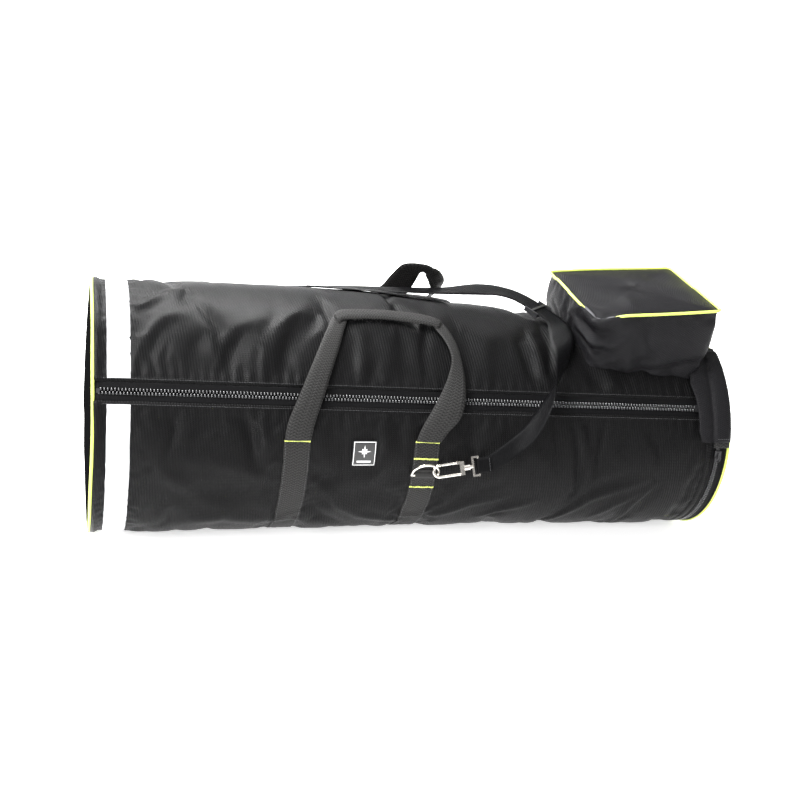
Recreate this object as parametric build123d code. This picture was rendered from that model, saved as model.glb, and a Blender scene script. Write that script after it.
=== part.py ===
from build123d import *
import os
from math import cos, radians, sin

# Padded carry case for a telescope tube, lying on its side.
# +X runs to the lid end, -Y is the side with the main zip, +Z is up, millimetres.
# Angles round the body start at the front (-Y) and rise over the top (+Z).

# Body: a soft cylinder that narrows from its middle to the lid end
X_BASE = -513.0
X_KNEE = -60.0
X_MOUTH = 480.0
X_LID = 513.0
R_BASE = 197.0
R_KNEE = 190.0
R_MOUTH = 164.5
KNEE_SHIFT = 8.0
REST_GAP = 2.4

# Wall of the body, from outside to inside
FABRIC = 1.5
FOAM = 10.0
LINING = 1.0
WALL = FABRIC + FOAM + LINING

# Main zip: a straight slot along the front
ZIP_ANGLE_BASE = 31.8
ZIP_ANGLE_LID = 37.0
ZIP_FIRST_X = -508.0
ZIP_LAST_X = 474.0
SLOT_WIDTH = 26.0
TAPE_INNER = 3.4
TAPE_THICK = 1.0
TOOTH_INNER = 0.9
TOOTH_THICK = 3.0

# Sliders: where they stand, their play over the teeth, and the gap under the pull's crown
MAIN_SLIDER_X = 458.0
MAIN_CLEARANCE = 0.4
LID_CLEARANCE = 0.8
LID_SLIDER_ANGLES = {"upper": 80.0, "lower": 10.0}
CROWN_GAP = 1.9

# Lid zip: a ring round the mouth
X_LID_ZIP = 493.9
LID_ZIP_DEPTH = 1.0
LID_TAPE_END = 506.0
HINGE_ANGLE = 155.0
LID_FOAM_RADIUS = 156.0
PIPING_RADIUS = 2.4

# Box on the top near the lid end
BOX_TOP = (220.0, 200.0)
BOX_FOOT = (196.0, 182.0)
BOX_CENTRE = (360.0, -4.0)
BOX_TOP_Z = 421.0
BOX_TILT = -4.0
BOX_FOOT_Z = 250.0
BOX_FOAM = 6.0

# Webbing, handles and rings
WEB_WIDTH = 40.0
WEB_THICK = 1.6
WEB_X = {"left": -215.0, "right": -12.0}
STITCH_ANGLE = 11.5
HANDLE_ANGLE = 45.7
HANDLE_FOOT = -105.0
REAR_HANDLE_LEAVE = 152.0
REAR_HANDLE_RISE = 158.0
HANDLE_RISE = 2.0
HANDLE_THICK = 3.0
RING_ANGLE = -5.0
RING_WIRE = 2.0
RING_HALF = 21.0
RING_LEG = 5.0
RING_LEAN = 20.0
TUNNEL_Z = RING_WIRE + 0.9

# Snap hooks, in their own frame from the ring to the strap
HOOK_WIRE = 2.3
HOOK_HALF = 9.0
HOOK_SPINE = 34.0
HOOK_BARREL = HOOK_SPINE + 9.0
HOOK_RISE = 16.0
HOOK_TILT = 44.0
HOOK_SLACK = 1.5
GATE_TIP = 3.6
GATE_PIVOT = 29.6
GATE_WIRE = 2.0
EYE_BAR = HOOK_BARREL + 18.5
EYE_WIRE = 1.9

# Shoulder strap: its thickness, and the run of its route that carries the slide adjuster
STRAP_THICK = 2.0
ADJUSTER_AT = 0.5
ADJUSTER_RUN = 6

# Centre of the strap, its direction across (none where it lies on the body), and its width
STRAP_ROUTE = [
    ((112, -200, 222), (-0.3, 0.5, 0.8), 26),
    ((142, -196, 250), (-0.2, 0.9, 0.3), 32),
    ((174, -170, 292), (0.1, 0.9, 0.0), 36),
    ((202, -126, 334), (0.5, 0.6, -0.1), 38),
    ((220, -76, 354), (0.9, 0.2, 0.1), 38),
    ((230, -36, 361), (1, 0.3, 0.2), 38),
    ((228, -2, 366), (0.78, 0.62, 0.0), 38),
    ((190, 46, 380), (0.78, 0.62, 0.0), 38),
    ((158, 70, 384), (0.4, 0.9, 0), 38),
    ((120, 79, 384), (0, 1, 0), 38),
    ((60, 80, 382), (0, 1, 0), 38),
    ((-30, 80, 382), (0, 1, -0.1), 38),
    ((-110, 82, 385), (0, 1, -0.3), 38),
    ((-172, 84, 387), (0, 1, -0.4), 38),
    ((-215, 106, 374), None, 38),
    ((-250, 134, 352), None, 38),
    ((-285, 164, 322), None, 36),
    ((-310, 188, 284), None, 32),
    ((-318, 201, 248), None, 28),
]

# Padded grip over the edge of the lid
GRIP_FROM, GRIP_TO = 15.5, 74.5
GRIP_PAD_FROM, GRIP_PAD_TO = 18.5, 71.5
GRIP_X = (449.0, 507.0)
GRIP_WEB_X = (466.0, 506.0)
GRIP_LOW, GRIP_HIGH = 7.8, 22.0
GRIP_WEB_LOW, GRIP_WEB_HIGH = 13.0, 15.4
GRIP_FOOT_X = 498.0
BOX_GAP = 4.0

parts = {}


def between(x, base, knee, mouth):
    """Straight-line value along the body, through base, knee and mouth."""
    if x <= X_KNEE:
        return base + (knee - base) * (x - X_BASE) / (X_KNEE - X_BASE)
    if x <= X_MOUTH + 2.0:
        return knee + (mouth - knee) * (x - X_KNEE) / (X_MOUTH - X_KNEE)
    return mouth


def radius(x):
    return between(x, R_BASE, R_KNEE, R_MOUTH)


def centre(x):
    return Vector(x, between(x, 0.0, KNEE_SHIFT, 0.0), radius(x) + REST_GAP)


def on_skin(x, angle, height=0.0):
    """Point at a height over the outer fabric."""
    reach = radius(x) + height
    return centre(x) + Vector(0, -reach * cos(radians(angle)), reach * sin(radians(angle)))


def outward(angle):
    return Vector(0, -cos(radians(angle)), sin(radians(angle)))


def section(x, height):
    plane = Plane(origin=centre(x), x_dir=(0, 1, 0), z_dir=(1, 0, 0))
    return plane * Circle(radius(x) + height)


def barrel(x0, x1, height):
    """Solid body whose surface is a height over the outer fabric."""
    stations = [x0, x1]
    if x0 < X_KNEE < x1:
        stations = [x0, X_KNEE, x1]
    return loft([section(x, height) for x in stations], ruled=True)


def shell(x0, x1, low, high):
    """Wall between two heights over the outer fabric."""
    return barrel(x0, x1, high) - barrel(x0 - 1.0, x1 + 1.0, low)


def wedge(x0, x1, angle0, angle1):
    """Prism that holds the angles between angle0 and angle1 round the body."""
    middle = centre((x0 + x1) / 2)
    steps = max(2, int(abs(angle1 - angle0) / 30) + 1)
    corners = [(0, 0)]
    for i in range(steps + 1):
        angle = radians(angle0 + (angle1 - angle0) * i / steps)
        corners.append((-500 * cos(angle), 500 * sin(angle)))
    plane = Plane(origin=(x0, middle.Y, middle.Z), x_dir=(0, 1, 0), z_dir=(1, 0, 0))
    return extrude(plane * make_face(Polyline(*corners, close=True)), x1 - x0)


def mouth_disc(x0, x1, disc_radius):
    """Round slab about the axis of the mouth."""
    middle = centre(X_LID)
    place = Pos((x0 + x1) / 2, middle.Y, middle.Z) * Rot(0, 90, 0)
    return place * Cylinder(disc_radius, x1 - x0)


def mouth_ring(x0, x1, low, high):
    return mouth_disc(x0, x1, R_MOUTH + high) - mouth_disc(x0 - 1, x1 + 1, R_MOUTH + low)


def rim_cord(x, rim_radius, cord_radius):
    middle = centre(x)
    return Pos(x, middle.Y, middle.Z) * Rot(0, 90, 0) * Torus(rim_radius, cord_radius)


def frame_at(point, along, out):
    """Plane with its x along a direction and its z near the outward one."""
    along = Vector(along).normalized()
    out = Vector(out)
    out = (out - along * out.dot(along)).normalized()
    return Plane(origin=point, x_dir=along, z_dir=out)


def skin_place(x, angle, height, sign=1):
    """Location on the skin: x along the body, y up the skin, z outward."""
    step = on_skin(x + 1, angle) - on_skin(x - 1, angle)
    return frame_at(on_skin(x, angle, height), step * sign, outward(angle)).location


# Main zip frame: x along the zip, y across it, z out of the body
zip_first = on_skin(X_BASE, ZIP_ANGLE_BASE, -LID_ZIP_DEPTH)
zip_last = on_skin(X_MOUTH - 10, ZIP_ANGLE_LID, -LID_ZIP_DEPTH)
zip_along = (zip_last - zip_first).normalized()


def zip_frame(x):
    """Frame on the zip's line at the given distance along the body."""
    point = zip_first + zip_along * ((x - zip_first.X) / zip_along.X)
    return frame_at(point, zip_along, outward((ZIP_ANGLE_BASE + ZIP_ANGLE_LID) / 2))


zip_middle = zip_frame((ZIP_FIRST_X + ZIP_LAST_X) / 2)
zip_length = (ZIP_LAST_X - ZIP_FIRST_X) / zip_along.X


def zip_bar(length, y0, y1, z0, z1):
    return zip_middle * Pos(0, (y0 + y1) / 2, (z0 + z1) / 2) * Box(length, y1 - y0, z1 - z0)


def make_box_block(inset):
    """Box on the top, shrunk by an inset on every side, down into the body."""
    top = box_top_plane(inset)
    foot = Plane(origin=(BOX_CENTRE[0], BOX_CENTRE[1] + 3, BOX_FOOT_Z))
    upper = top * Rectangle(BOX_TOP[0] - 2 * inset, BOX_TOP[1] - 2 * inset)
    lower = foot * Rectangle(BOX_FOOT[0] - 2 * inset, BOX_FOOT[1] - 2 * inset)
    return loft([upper, lower], ruled=True)


def make_body():
    slot = zip_bar(zip_length, -SLOT_WIDTH / 2, SLOT_WIDTH / 2, -60, 60)
    box_hole = make_box_block(FABRIC + BOX_FOAM + LINING)
    layers = {
        "body_panel_outer": (X_BASE + 2.5, -FABRIC, 0.0),
        "body_panel_foam": (X_BASE + 5.0, -FABRIC - FOAM, -FABRIC),
        "body_panel_lining": (X_BASE + 5.0, -WALL, -FABRIC - FOAM),
    }
    for name, (start, low, high) in layers.items():
        parts[name] = shell(start, X_MOUTH, low, high) - slot - box_hole
    band = shell(-492.0, -459.0, 0.0, 0.6)
    parts["reflective_band"] = band - zip_bar(zip_length + 20, -14, 14, -60, 60)


def base_slab(x0, x1, slab_radius):
    """Round slab about the axis of the base end."""
    middle = centre(X_BASE)
    return Pos((x0 + x1) / 2, middle.Y, middle.Z) * Rot(0, 90, 0) * Cylinder(slab_radius, x1 - x0)


def make_base():
    piping = rim_cord(X_BASE + 1.5, R_BASE, PIPING_RADIUS)
    parts["base_piping"] = piping
    parts["base_disc"] = base_slab(X_BASE - 1.5, X_BASE, R_BASE - 0.6) - piping
    parts["base_stiffener"] = base_slab(X_BASE, X_BASE + 2.5, R_BASE - 4)
    parts["base_foam"] = base_slab(X_BASE + 2.5, X_BASE + 12.5, R_BASE - WALL - 1.4)
    parts["base_lining"] = base_slab(X_BASE + 12.5, X_BASE + 13.5, R_BASE - WALL - 1.4)
    parts["body_panel_outer"] = parts["body_panel_outer"] - piping


def make_main_zip():
    half = TAPE_THICK / 2
    edge = SLOT_WIDTH / 2
    tooth = TOOTH_THICK / 2
    parts["main_zip_tape_upper"] = zip_bar(zip_length - 0.4, TAPE_INNER, edge, -half, half)
    parts["main_zip_tape_lower"] = zip_bar(zip_length - 0.4, -edge, -TAPE_INNER, -half, half)
    run = zip_length - 12
    parts["main_zip_teeth_upper"] = zip_bar(run, TOOTH_INNER, TAPE_INNER, -tooth, tooth)
    parts["main_zip_teeth_lower"] = zip_bar(run, -TAPE_INNER, -TOOTH_INNER, -tooth, tooth)
    stop = Box(5, 6.6, 4)
    reach = run / 2 + 2.6
    parts["main_zip_stops"] = Compound(children=[
        zip_middle * Pos(-reach, 0, 0) * stop,
        zip_middle * Pos(reach, 0, 0) * stop,
    ])


def zip_slider(clearance, length):
    """Slider in its own frame: x is its travel, z is out of the bag."""
    low = TOOTH_THICK / 2 + clearance
    high = low + 1.3
    plate = Box(length, 11.4, 1.3)
    shape = Pos(0, 0, (low + high) / 2) * plate
    shape += Pos(0, 0, -(low + high) / 2) * plate
    shape += Pos(length / 2 - 3, 0, 0) * Box(4, 1.2, 2 * low + 0.4)
    for side in (-1, 1):
        lip = TOOTH_THICK / 2 + 0.2
        shape += Pos(0, side * 5.1, (low + lip) / 2) * Box(length, 1.2, low - lip)
        shape += Pos(side * 4.2, 0, high + CROWN_GAP / 2) * Box(1.2, 2.2, CROWN_GAP)
    return shape + Pos(0, 0, high + CROWN_GAP + 0.5) * Box(9.6, 2.2, 1.0)


def pin_height(clearance):
    """Height of the pull's pin, in the middle of the gap under the crown."""
    return TOOTH_THICK / 2 + clearance + 1.3 + CROWN_GAP / 2


def tab_pull(clearance):
    height = pin_height(clearance)
    pin = Pos(0, 0, height) * Rot(90, 0, 0) * Cylinder(0.6, 6.4)
    tab = Pos(15.5, 0, height) * Box(31, 6.4, 1.2)
    eye = Pos(3.2, 0, height) * Box(12.4, 3.2, 3)
    return pin + (tab - eye)


def ring_pull(clearance):
    return Pos(4.9, 0, pin_height(clearance)) * Torus(4.9, 0.8)


def make_sliders():
    place = zip_frame(MAIN_SLIDER_X).location
    parts["main_zip_slider"] = place * zip_slider(MAIN_CLEARANCE, 18)
    parts["main_zip_pull"] = place * tab_pull(MAIN_CLEARANCE)
    for name, angle in LID_SLIDER_ANGLES.items():
        turn = 1 if name == "upper" else -1
        tangent = Vector(0, sin(radians(angle)), cos(radians(angle))) * turn
        point = on_skin(X_LID_ZIP, angle, -LID_ZIP_DEPTH)
        place = frame_at(point, tangent, outward(angle)).location
        parts[f"lid_zip_slider_{name}"] = place * zip_slider(LID_CLEARANCE, 16)
        parts[f"lid_zip_ring_{name}"] = place * ring_pull(LID_CLEARANCE)


def make_lid_zip():
    arc = wedge(X_MOUTH, X_LID, -HINGE_ANGLE, HINGE_ANGLE)
    tape = (-LID_ZIP_DEPTH - TAPE_THICK / 2, -LID_ZIP_DEPTH + TAPE_THICK / 2)
    teeth = (-LID_ZIP_DEPTH - TOOTH_THICK / 2, -LID_ZIP_DEPTH + TOOTH_THICK / 2)
    near, far = X_LID_ZIP - TAPE_INNER, X_LID_ZIP + TAPE_INNER
    parts["lid_zip_tape_body"] = mouth_ring(X_MOUTH, near, *tape) & arc
    parts["lid_zip_teeth_body"] = mouth_ring(near, X_LID_ZIP - TOOTH_INNER, *teeth) & arc
    parts["lid_zip_teeth_lid"] = mouth_ring(X_LID_ZIP + TOOTH_INNER, far, *teeth) & arc
    parts["lid_zip_tape_lid"] = mouth_ring(far, LID_TAPE_END, *tape) & arc
    rear = wedge(X_MOUTH, X_LID, HINGE_ANGLE + 0.5, 359.5 - HINGE_ANGLE)
    parts["lid_hinge_panel"] = mouth_ring(X_MOUTH, X_LID_ZIP - 0.4, -FABRIC, 0) & rear
    parts["lid_hinge_flap"] = mouth_ring(X_LID_ZIP + 0.4, LID_TAPE_END, -FABRIC, 0) & rear


def make_lid():
    piping = rim_cord(X_LID - 1.5, R_MOUTH, PIPING_RADIUS)
    parts["lid_piping"] = piping
    parts["lid_rim_band"] = mouth_ring(LID_TAPE_END, X_LID - 1.5, -FABRIC, 0) - piping
    parts["lid_disc"] = mouth_disc(X_LID - 1.5, X_LID, R_MOUTH - 0.6) - piping
    parts["lid_stiffener"] = mouth_disc(X_LID - 4, X_LID - 1.5, R_MOUTH - 4.5)
    parts["lid_foam"] = mouth_disc(X_LID - 14, X_LID - 4, LID_FOAM_RADIUS)
    parts["lid_lining"] = mouth_disc(X_LID - 15, X_LID - 14, LID_FOAM_RADIUS)


def box_top_plane(inset=0.0):
    return Plane(origin=(*BOX_CENTRE, BOX_TOP_Z - inset)).rotated((0, BOX_TILT, 0))


def make_box():
    body = barrel(X_BASE + 5, X_MOUTH, 0.0)
    skins = [make_box_block(t) for t in (0, FABRIC, FABRIC + BOX_FOAM, FABRIC + BOX_FOAM + LINING)]
    lid_plane = box_top_plane()

    def lid_slab(low, high):
        return lid_plane * Pos(0, 0, (low + high) / 2) * Box(300, 300, high - low)

    outer = (skins[0] - body) - lid_slab(-FABRIC, 5)
    parts["box_walls"] = outer - skins[1]
    parts["box_lid_panel"] = (skins[0] - body) & lid_slab(-FABRIC, 5)
    parts["box_foam"] = (skins[1] - body) - skins[2] - lid_slab(-FABRIC - BOX_FOAM, 5)
    parts["box_lid_foam"] = (skins[1] & lid_slab(-FABRIC - BOX_FOAM, -FABRIC)) - body
    parts["box_lining"] = ((skins[2] - skins[3]) - body) - lid_slab(-FABRIC - BOX_FOAM, 5)


def make_box_piping():
    """Cord sewn round the edge of the box's lid."""
    lid_plane = box_top_plane()
    length, depth = BOX_TOP[0] + 3.4, BOX_TOP[1] + 3.4
    rods = []
    for side in (-1, 1):
        rods.append(Pos(0, side * depth / 2, 0) * Rot(0, 90, 0) * Cylinder(1.8, length))
        rods.append(Pos(side * length / 2, 0, 0) * Rot(90, 0, 0) * Cylinder(1.8, depth))
        for end in (-1, 1):
            rods.append(Pos(side * length / 2, end * depth / 2, 0) * Sphere(1.8))
    cord = rods[0]
    for rod in rods[1:]:
        cord = cord + rod
    parts["box_piping"] = (lid_plane * cord) - make_box_block(0)


def make_webbing():
    rear = 180 - STITCH_ANGLE
    stitches = []
    for name, x in WEB_X.items():
        x0, x1 = x - WEB_WIDTH / 2, x + WEB_WIDTH / 2
        strip = shell(x0, x1, 0, WEB_THICK)
        strip = strip & wedge(x0 - 2, x1 + 2, rear - 360, STITCH_ANGLE)
        parts[f"webbing_strap_{name}"] = strip
    rows = {"left": [STITCH_ANGLE - 1], "right": [STITCH_ANGLE - 1, 3.0, -12.5]}
    for name, angles in rows.items():
        x = WEB_X[name]
        for angle in angles:
            for side_angle in (angle, 180 - angle):
                place = skin_place(x, side_angle, WEB_THICK + 0.37)
                stitches.append(place * Box(26, 1.6, 0.7))
    parts["bar_tack_stitches"] = Compound(children=stitches)


def make_handles():
    middle = Vector(0, centre(-100).Y, centre(-100).Z)
    low, high = WEB_THICK + HANDLE_RISE, WEB_THICK + HANDLE_RISE + HANDLE_THICK
    skin = shell(-245, 60, low, high)
    tangent = Vector(0, sin(radians(HANDLE_ANGLE)), cos(radians(HANDLE_ANGLE)))
    plan = Plane(origin=middle, x_dir=(1, 0, 0), z_dir=outward(HANDLE_ANGLE))
    up = 1 if plan.y_dir.dot(tangent) > 0 else -1
    foot = HANDLE_FOOT
    outer = [(-235, foot), (-166, 92), (-150, 106), (16, 106), (34, 92), (50, 30), (8, foot)]
    inner = [(-195, foot - 5), (-128, 76), (2, 76), (9, 20), (-32, foot - 5)]
    outline = make_face(Polyline(*[(x, up * s) for x, s in outer], close=True))
    opening = make_face(Polyline(*[(x, up * s) for x, s in inner], close=True))
    prism = extrude(plan * outline, 260) - extrude(plan * opening, 260)
    parts["front_handle"] = skin & prism

    # Rear handle: follows the body a little way, then stands up and leans over the top
    leave = REAR_HANDLE_LEAVE
    rise = REAR_HANDLE_RISE
    bottom = 180 - STITCH_ANGLE - 0.3
    reach = radius(-235) + low + 0.3
    hub = Vector(0, centre(-215).Y, centre(-235).Z)

    def rear_point(angle, extra):
        return hub + outward(angle) * (reach + extra)

    lean = Vector(0, -sin(radians(180 - leave)), cos(radians(180 - leave)))
    rows = []
    for extra in (0, HANDLE_THICK):
        start = rear_point(bottom, extra)
        end = rear_point(leave, extra)
        rows.append((start, rear_point((bottom + leave) / 2, extra), end, end + lean * rise))
    inner_row, outer_row = rows
    outline = Wire([
        ThreePointArc(*inner_row[:3]),
        Line(inner_row[2], inner_row[3]),
        Line(inner_row[3], outer_row[3]),
        Line(outer_row[3], outer_row[2]),
        ThreePointArc(outer_row[2], outer_row[1], outer_row[0]),
        Line(outer_row[0], inner_row[0]),
    ])
    sheet = extrude(Pos(-245, 0, 0) * Face(outline), 310, dir=(1, 0, 0))
    plan = Plane(origin=inner_row[2], x_dir=(1, 0, 0), z_dir=outward(leave))
    up = 1 if plan.y_dir.dot(lean) > 0 else -1
    outer = [(-235, -70), (-42, 140), (-24, 158), (40, 158), (56, 140), (58, 90), (8, -70)]
    inner = [(-196, -75), (-8, 128), (18, 128), (20, 95), (-31, -75)]
    outline = make_face(Polyline(*[(x, up * s) for x, s in outer], close=True))
    opening = make_face(Polyline(*[(x, up * s) for x, s in inner], close=True))
    prism = extrude(plan * outline, 60, both=True) - extrude(plan * opening, 60, both=True)
    parts["rear_handle"] = sheet & prism


def make_label():
    strip = shell(-130.0, -92.0, 0, 1.2)
    parts["label_patch"] = strip & wedge(-135, -85, -0.8, 11.4)


def ring_place(side):
    """Location of a ring's loop: on the front of one strap, on the rear of the other."""
    if side == "front":
        return skin_place(WEB_X["right"], RING_ANGLE, WEB_THICK + 0.3)
    return skin_place(WEB_X["left"], 180 - RING_ANGLE, WEB_THICK + 0.3, -1)


def ring_plane(side):
    """Location of the ring itself: x along its bar, y up its legs."""
    return ring_place(side) * Pos(0, 0, TUNNEL_Z) * Rot(RING_LEAN, 0, 0)


def make_d_rings():
    """A ring held by a short loop of webbing, at the front and at the rear."""
    bore = RING_WIRE + 0.35
    loop = Pos(0, 0, TUNNEL_Z) * Rot(0, 90, 0) * Cylinder(bore + 1.6, 30)
    loop = loop & (Pos(0, 0, 10.3) * Box(40, 30, 20))
    loop += Pos(0, 0, 1.1) * Box(30, 17, 1.6)
    loop -= Pos(0, 0, TUNNEL_Z) * Rot(0, 90, 0) * Cylinder(bore, 40)

    bow = Torus(RING_HALF, RING_WIRE) & (Pos(0, 50, 0) * Box(100, 100, 20))
    ring = Rot(0, 90, 0) * Cylinder(RING_WIRE, 2 * RING_HALF) + Pos(0, RING_LEG, 0) * bow
    for end in (-1, 1):
        ring += Pos(end * RING_HALF, 0, 0) * Sphere(RING_WIRE)
        ring += Pos(end * RING_HALF, RING_LEG / 2, 0) * Rot(90, 0, 0) * Cylinder(RING_WIRE, RING_LEG)
    for side in ("front", "rear"):
        parts[f"d_ring_loop_{side}"] = ring_place(side) * loop
        parts[f"{side}_d_ring"] = ring_plane(side) * ring


def hook_pieces():
    """Snap hook in its own frame: x from the ring to the strap, y across, z through."""
    bow = Torus(HOOK_HALF, HOOK_WIRE) & (Pos(-50, 0, 0) * Box(100, 100, 20))
    spine = Pos(HOOK_SPINE / 2, -HOOK_HALF, 0) * Rot(0, 90, 0) * Cylinder(HOOK_WIRE, HOOK_SPINE)
    tip = Pos(1.5, HOOK_HALF, 0) * Rot(0, 90, 0) * Cylinder(HOOK_WIRE, 3)
    neck = Pos(HOOK_SPINE + 1.5, 0, 0) * Box(7, 2 * HOOK_HALF + 4, 5)
    sleeve = Pos(HOOK_BARREL, 0, 0) * Rot(0, 90, 0) * Cylinder(4.6, 9)
    bore = Pos(HOOK_BARREL + 1, 0, 0) * Rot(0, 90, 0) * Cylinder(2.55, 9)
    head = Pos(HOOK_BARREL - 2.2, 0, 0) * Rot(0, 90, 0) * Cylinder(3.8, 4.2)
    pivot = Pos(GATE_PIVOT, HOOK_HALF, 0)
    body = bow + spine + tip + neck + sleeve - bore - head
    for end in (-1, 1):
        body += pivot * Pos(1.0, 0, end * 3.0) * Box(6, 4, 1.0)
    body += pivot * Cylinder(0.8, 5.5)

    gate = Pos((GATE_PIVOT + GATE_TIP) / 2, HOOK_HALF, 0) * Rot(0, 90, 0)
    gate = gate * Cylinder(GATE_WIRE, GATE_PIVOT - GATE_TIP) + pivot * Sphere(GATE_WIRE)
    gate -= pivot * Cylinder(0.87, 10)

    stud = Pos(HOOK_BARREL - 2.2, 0, 0) * Rot(0, 90, 0) * Cylinder(3.4, 3.4)
    stem = Pos(HOOK_BARREL + 3.4, 0, 0) * Rot(0, 90, 0) * Cylinder(2.5, 12)
    eye_x = HOOK_BARREL + 9.5
    eye = stud + stem + Pos(eye_x, 0, 0) * Box(3.4, 32, 4.2)
    for end in (-1, 1):
        eye += Pos(eye_x + 5.0, end * 14.6, 0) * Box(10, 3, 4.2)
    eye += Pos(EYE_BAR, 0, 0) * Rot(90, 0, 0) * Cylinder(EYE_WIRE, 30)
    return {"body": body, "gate": gate, "eye": eye}


def hook_place(side):
    """The ring's wire passes through the hook's bow at an angle up the ring's curve."""
    meet = radians(HOOK_RISE)
    point = Pos(RING_HALF * cos(meet), RING_LEG + RING_HALF * sin(meet), 0)
    turned = ring_plane(side) * point * Rot(0, 0, HOOK_RISE) * Rot(HOOK_TILT - 90, 0, 0)
    return turned * Pos(HOOK_SLACK, 0, 0)


def make_hooks():
    for side in ("front", "rear"):
        for name, piece in hook_pieces().items():
            parts[f"{side}_hook_{name}"] = hook_place(side) * piece


def ribbon(stations):
    """Flat strap through stations of (centre, direction across, width)."""
    points = [Vector(p) for p, _, _ in stations]
    faces = []
    last = Vector(0, 0, 1)
    for i, (point, across, width) in enumerate(stations):
        before = points[max(i - 1, 0)]
        after = points[min(i + 1, len(points) - 1)]
        along = (after - before).normalized()
        if across is None:
            radial = points[i] - centre(points[i].X)
            across = Vector(0, radial.Y, radial.Z).cross(along)
        across = Vector(across)
        across = (across - along * across.dot(along)).normalized()
        if across.dot(last) < 0:
            across = across * -1
        last = across
        faces.append(Plane(origin=point, x_dir=across, z_dir=along) * Rectangle(width, STRAP_THICK))
    return loft(faces, ruled=True)


def eye_loop(side):
    """End of the strap, folded round the bar of a hook's eye and sewn."""
    fold = Cylinder(EYE_WIRE + STRAP_THICK + 0.1, 24) - Cylinder(EYE_WIRE + 0.1, 26)
    tail = Pos(9, 0, 0) * Box(12, 2 * STRAP_THICK, 24)
    return hook_place(side) * Pos(EYE_BAR, 0, 0) * Rot(90, 0, 0) * (fold + tail)


def eye_station(side):
    spot = hook_place(side) * Pos(EYE_BAR + 15, 0, 0)
    across = Plane(spot).y_dir
    return (tuple(spot.position), tuple(across), 24)


def make_strap():
    route = [eye_station("front")] + STRAP_ROUTE + [eye_station("rear")]
    parts["shoulder_strap"] = ribbon(route) + eye_loop("front") + eye_loop("rear")


def adjuster_place():
    """Middle of the strap's straight run, with x along it and z through it."""
    start, across, _ = STRAP_ROUTE[ADJUSTER_RUN]
    end, _, _ = STRAP_ROUTE[ADJUSTER_RUN + 1]
    start, end = Vector(start), Vector(end)
    along = (end - start).normalized()
    across = Vector(across)
    across = (across - along * across.dot(along)).normalized()
    middle = start + (end - start) * ADJUSTER_AT
    return Plane(origin=middle, x_dir=along, z_dir=along.cross(across)).location


def make_adjuster():
    """Three-bar slide: the strap goes over its middle bar and under its outer bars."""
    half = STRAP_THICK / 2 + 0.4
    shape = Pos(0, 0, -half - 1.25) * Box(4, 44, 2.5)
    for end in (-1, 1):
        shape += Pos(end * 11, 0, half + 1.25) * Box(4, 44, 2.5)
        shape += Pos(0, end * 21.0, 0) * Box(26, 2.6, 2 * half + 5)
    parts["strap_adjuster"] = adjuster_place() * shape


def make_grip():
    span = wedge(440, 520, GRIP_PAD_FROM, GRIP_PAD_TO)
    web = mouth_ring(*GRIP_WEB_X, GRIP_WEB_LOW, GRIP_WEB_HIGH)
    web = web & wedge(440, 520, GRIP_FROM, GRIP_TO)
    pad = mouth_ring(*GRIP_X, GRIP_LOW, GRIP_HIGH) & span
    pad = pad - mouth_ring(*GRIP_WEB_X, GRIP_WEB_LOW, GRIP_WEB_HIGH)
    parts["grip_pad"] = pad - make_box_block(-BOX_GAP)
    foot = mouth_ring(GRIP_FOOT_X, GRIP_WEB_X[1], 0.4, GRIP_WEB_HIGH)
    for start, end in ((GRIP_FROM, GRIP_FROM + 1), (GRIP_TO - 1, GRIP_TO)):
        web = web + (foot & wedge(440, 520, start, end))
    parts["grip_webbing"] = web - make_box_block(-BOX_GAP)


def to_origin():
    """Move that puts the middle of the case's underside at the origin."""
    boxes = [shape.bounding_box() for shape in parts.values()]
    low = [min(tuple(box.min)[i] for box in boxes) for i in range(3)]
    high = [max(tuple(box.max)[i] for box in boxes) for i in range(3)]
    return Vector(-(low[0] + high[0]) / 2, -(low[1] + high[1]) / 2, -low[2])


def main():
    make_body()
    make_base()
    make_main_zip()
    make_sliders()
    make_lid_zip()
    make_lid()
    make_box()
    make_box_piping()
    make_webbing()
    make_handles()
    make_label()
    make_d_rings()
    make_hooks()
    make_strap()
    make_adjuster()
    make_grip()
    os.makedirs("parts", exist_ok=True)
    move = to_origin()
    for name, shape in parts.items():
        export_step(Pos(move) * shape, f"parts/{name}.step")


main()
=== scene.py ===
from math import cos, degrees, pi, radians, sin
import bpy
import numpy as np
from mathutils import Matrix, Vector


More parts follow.
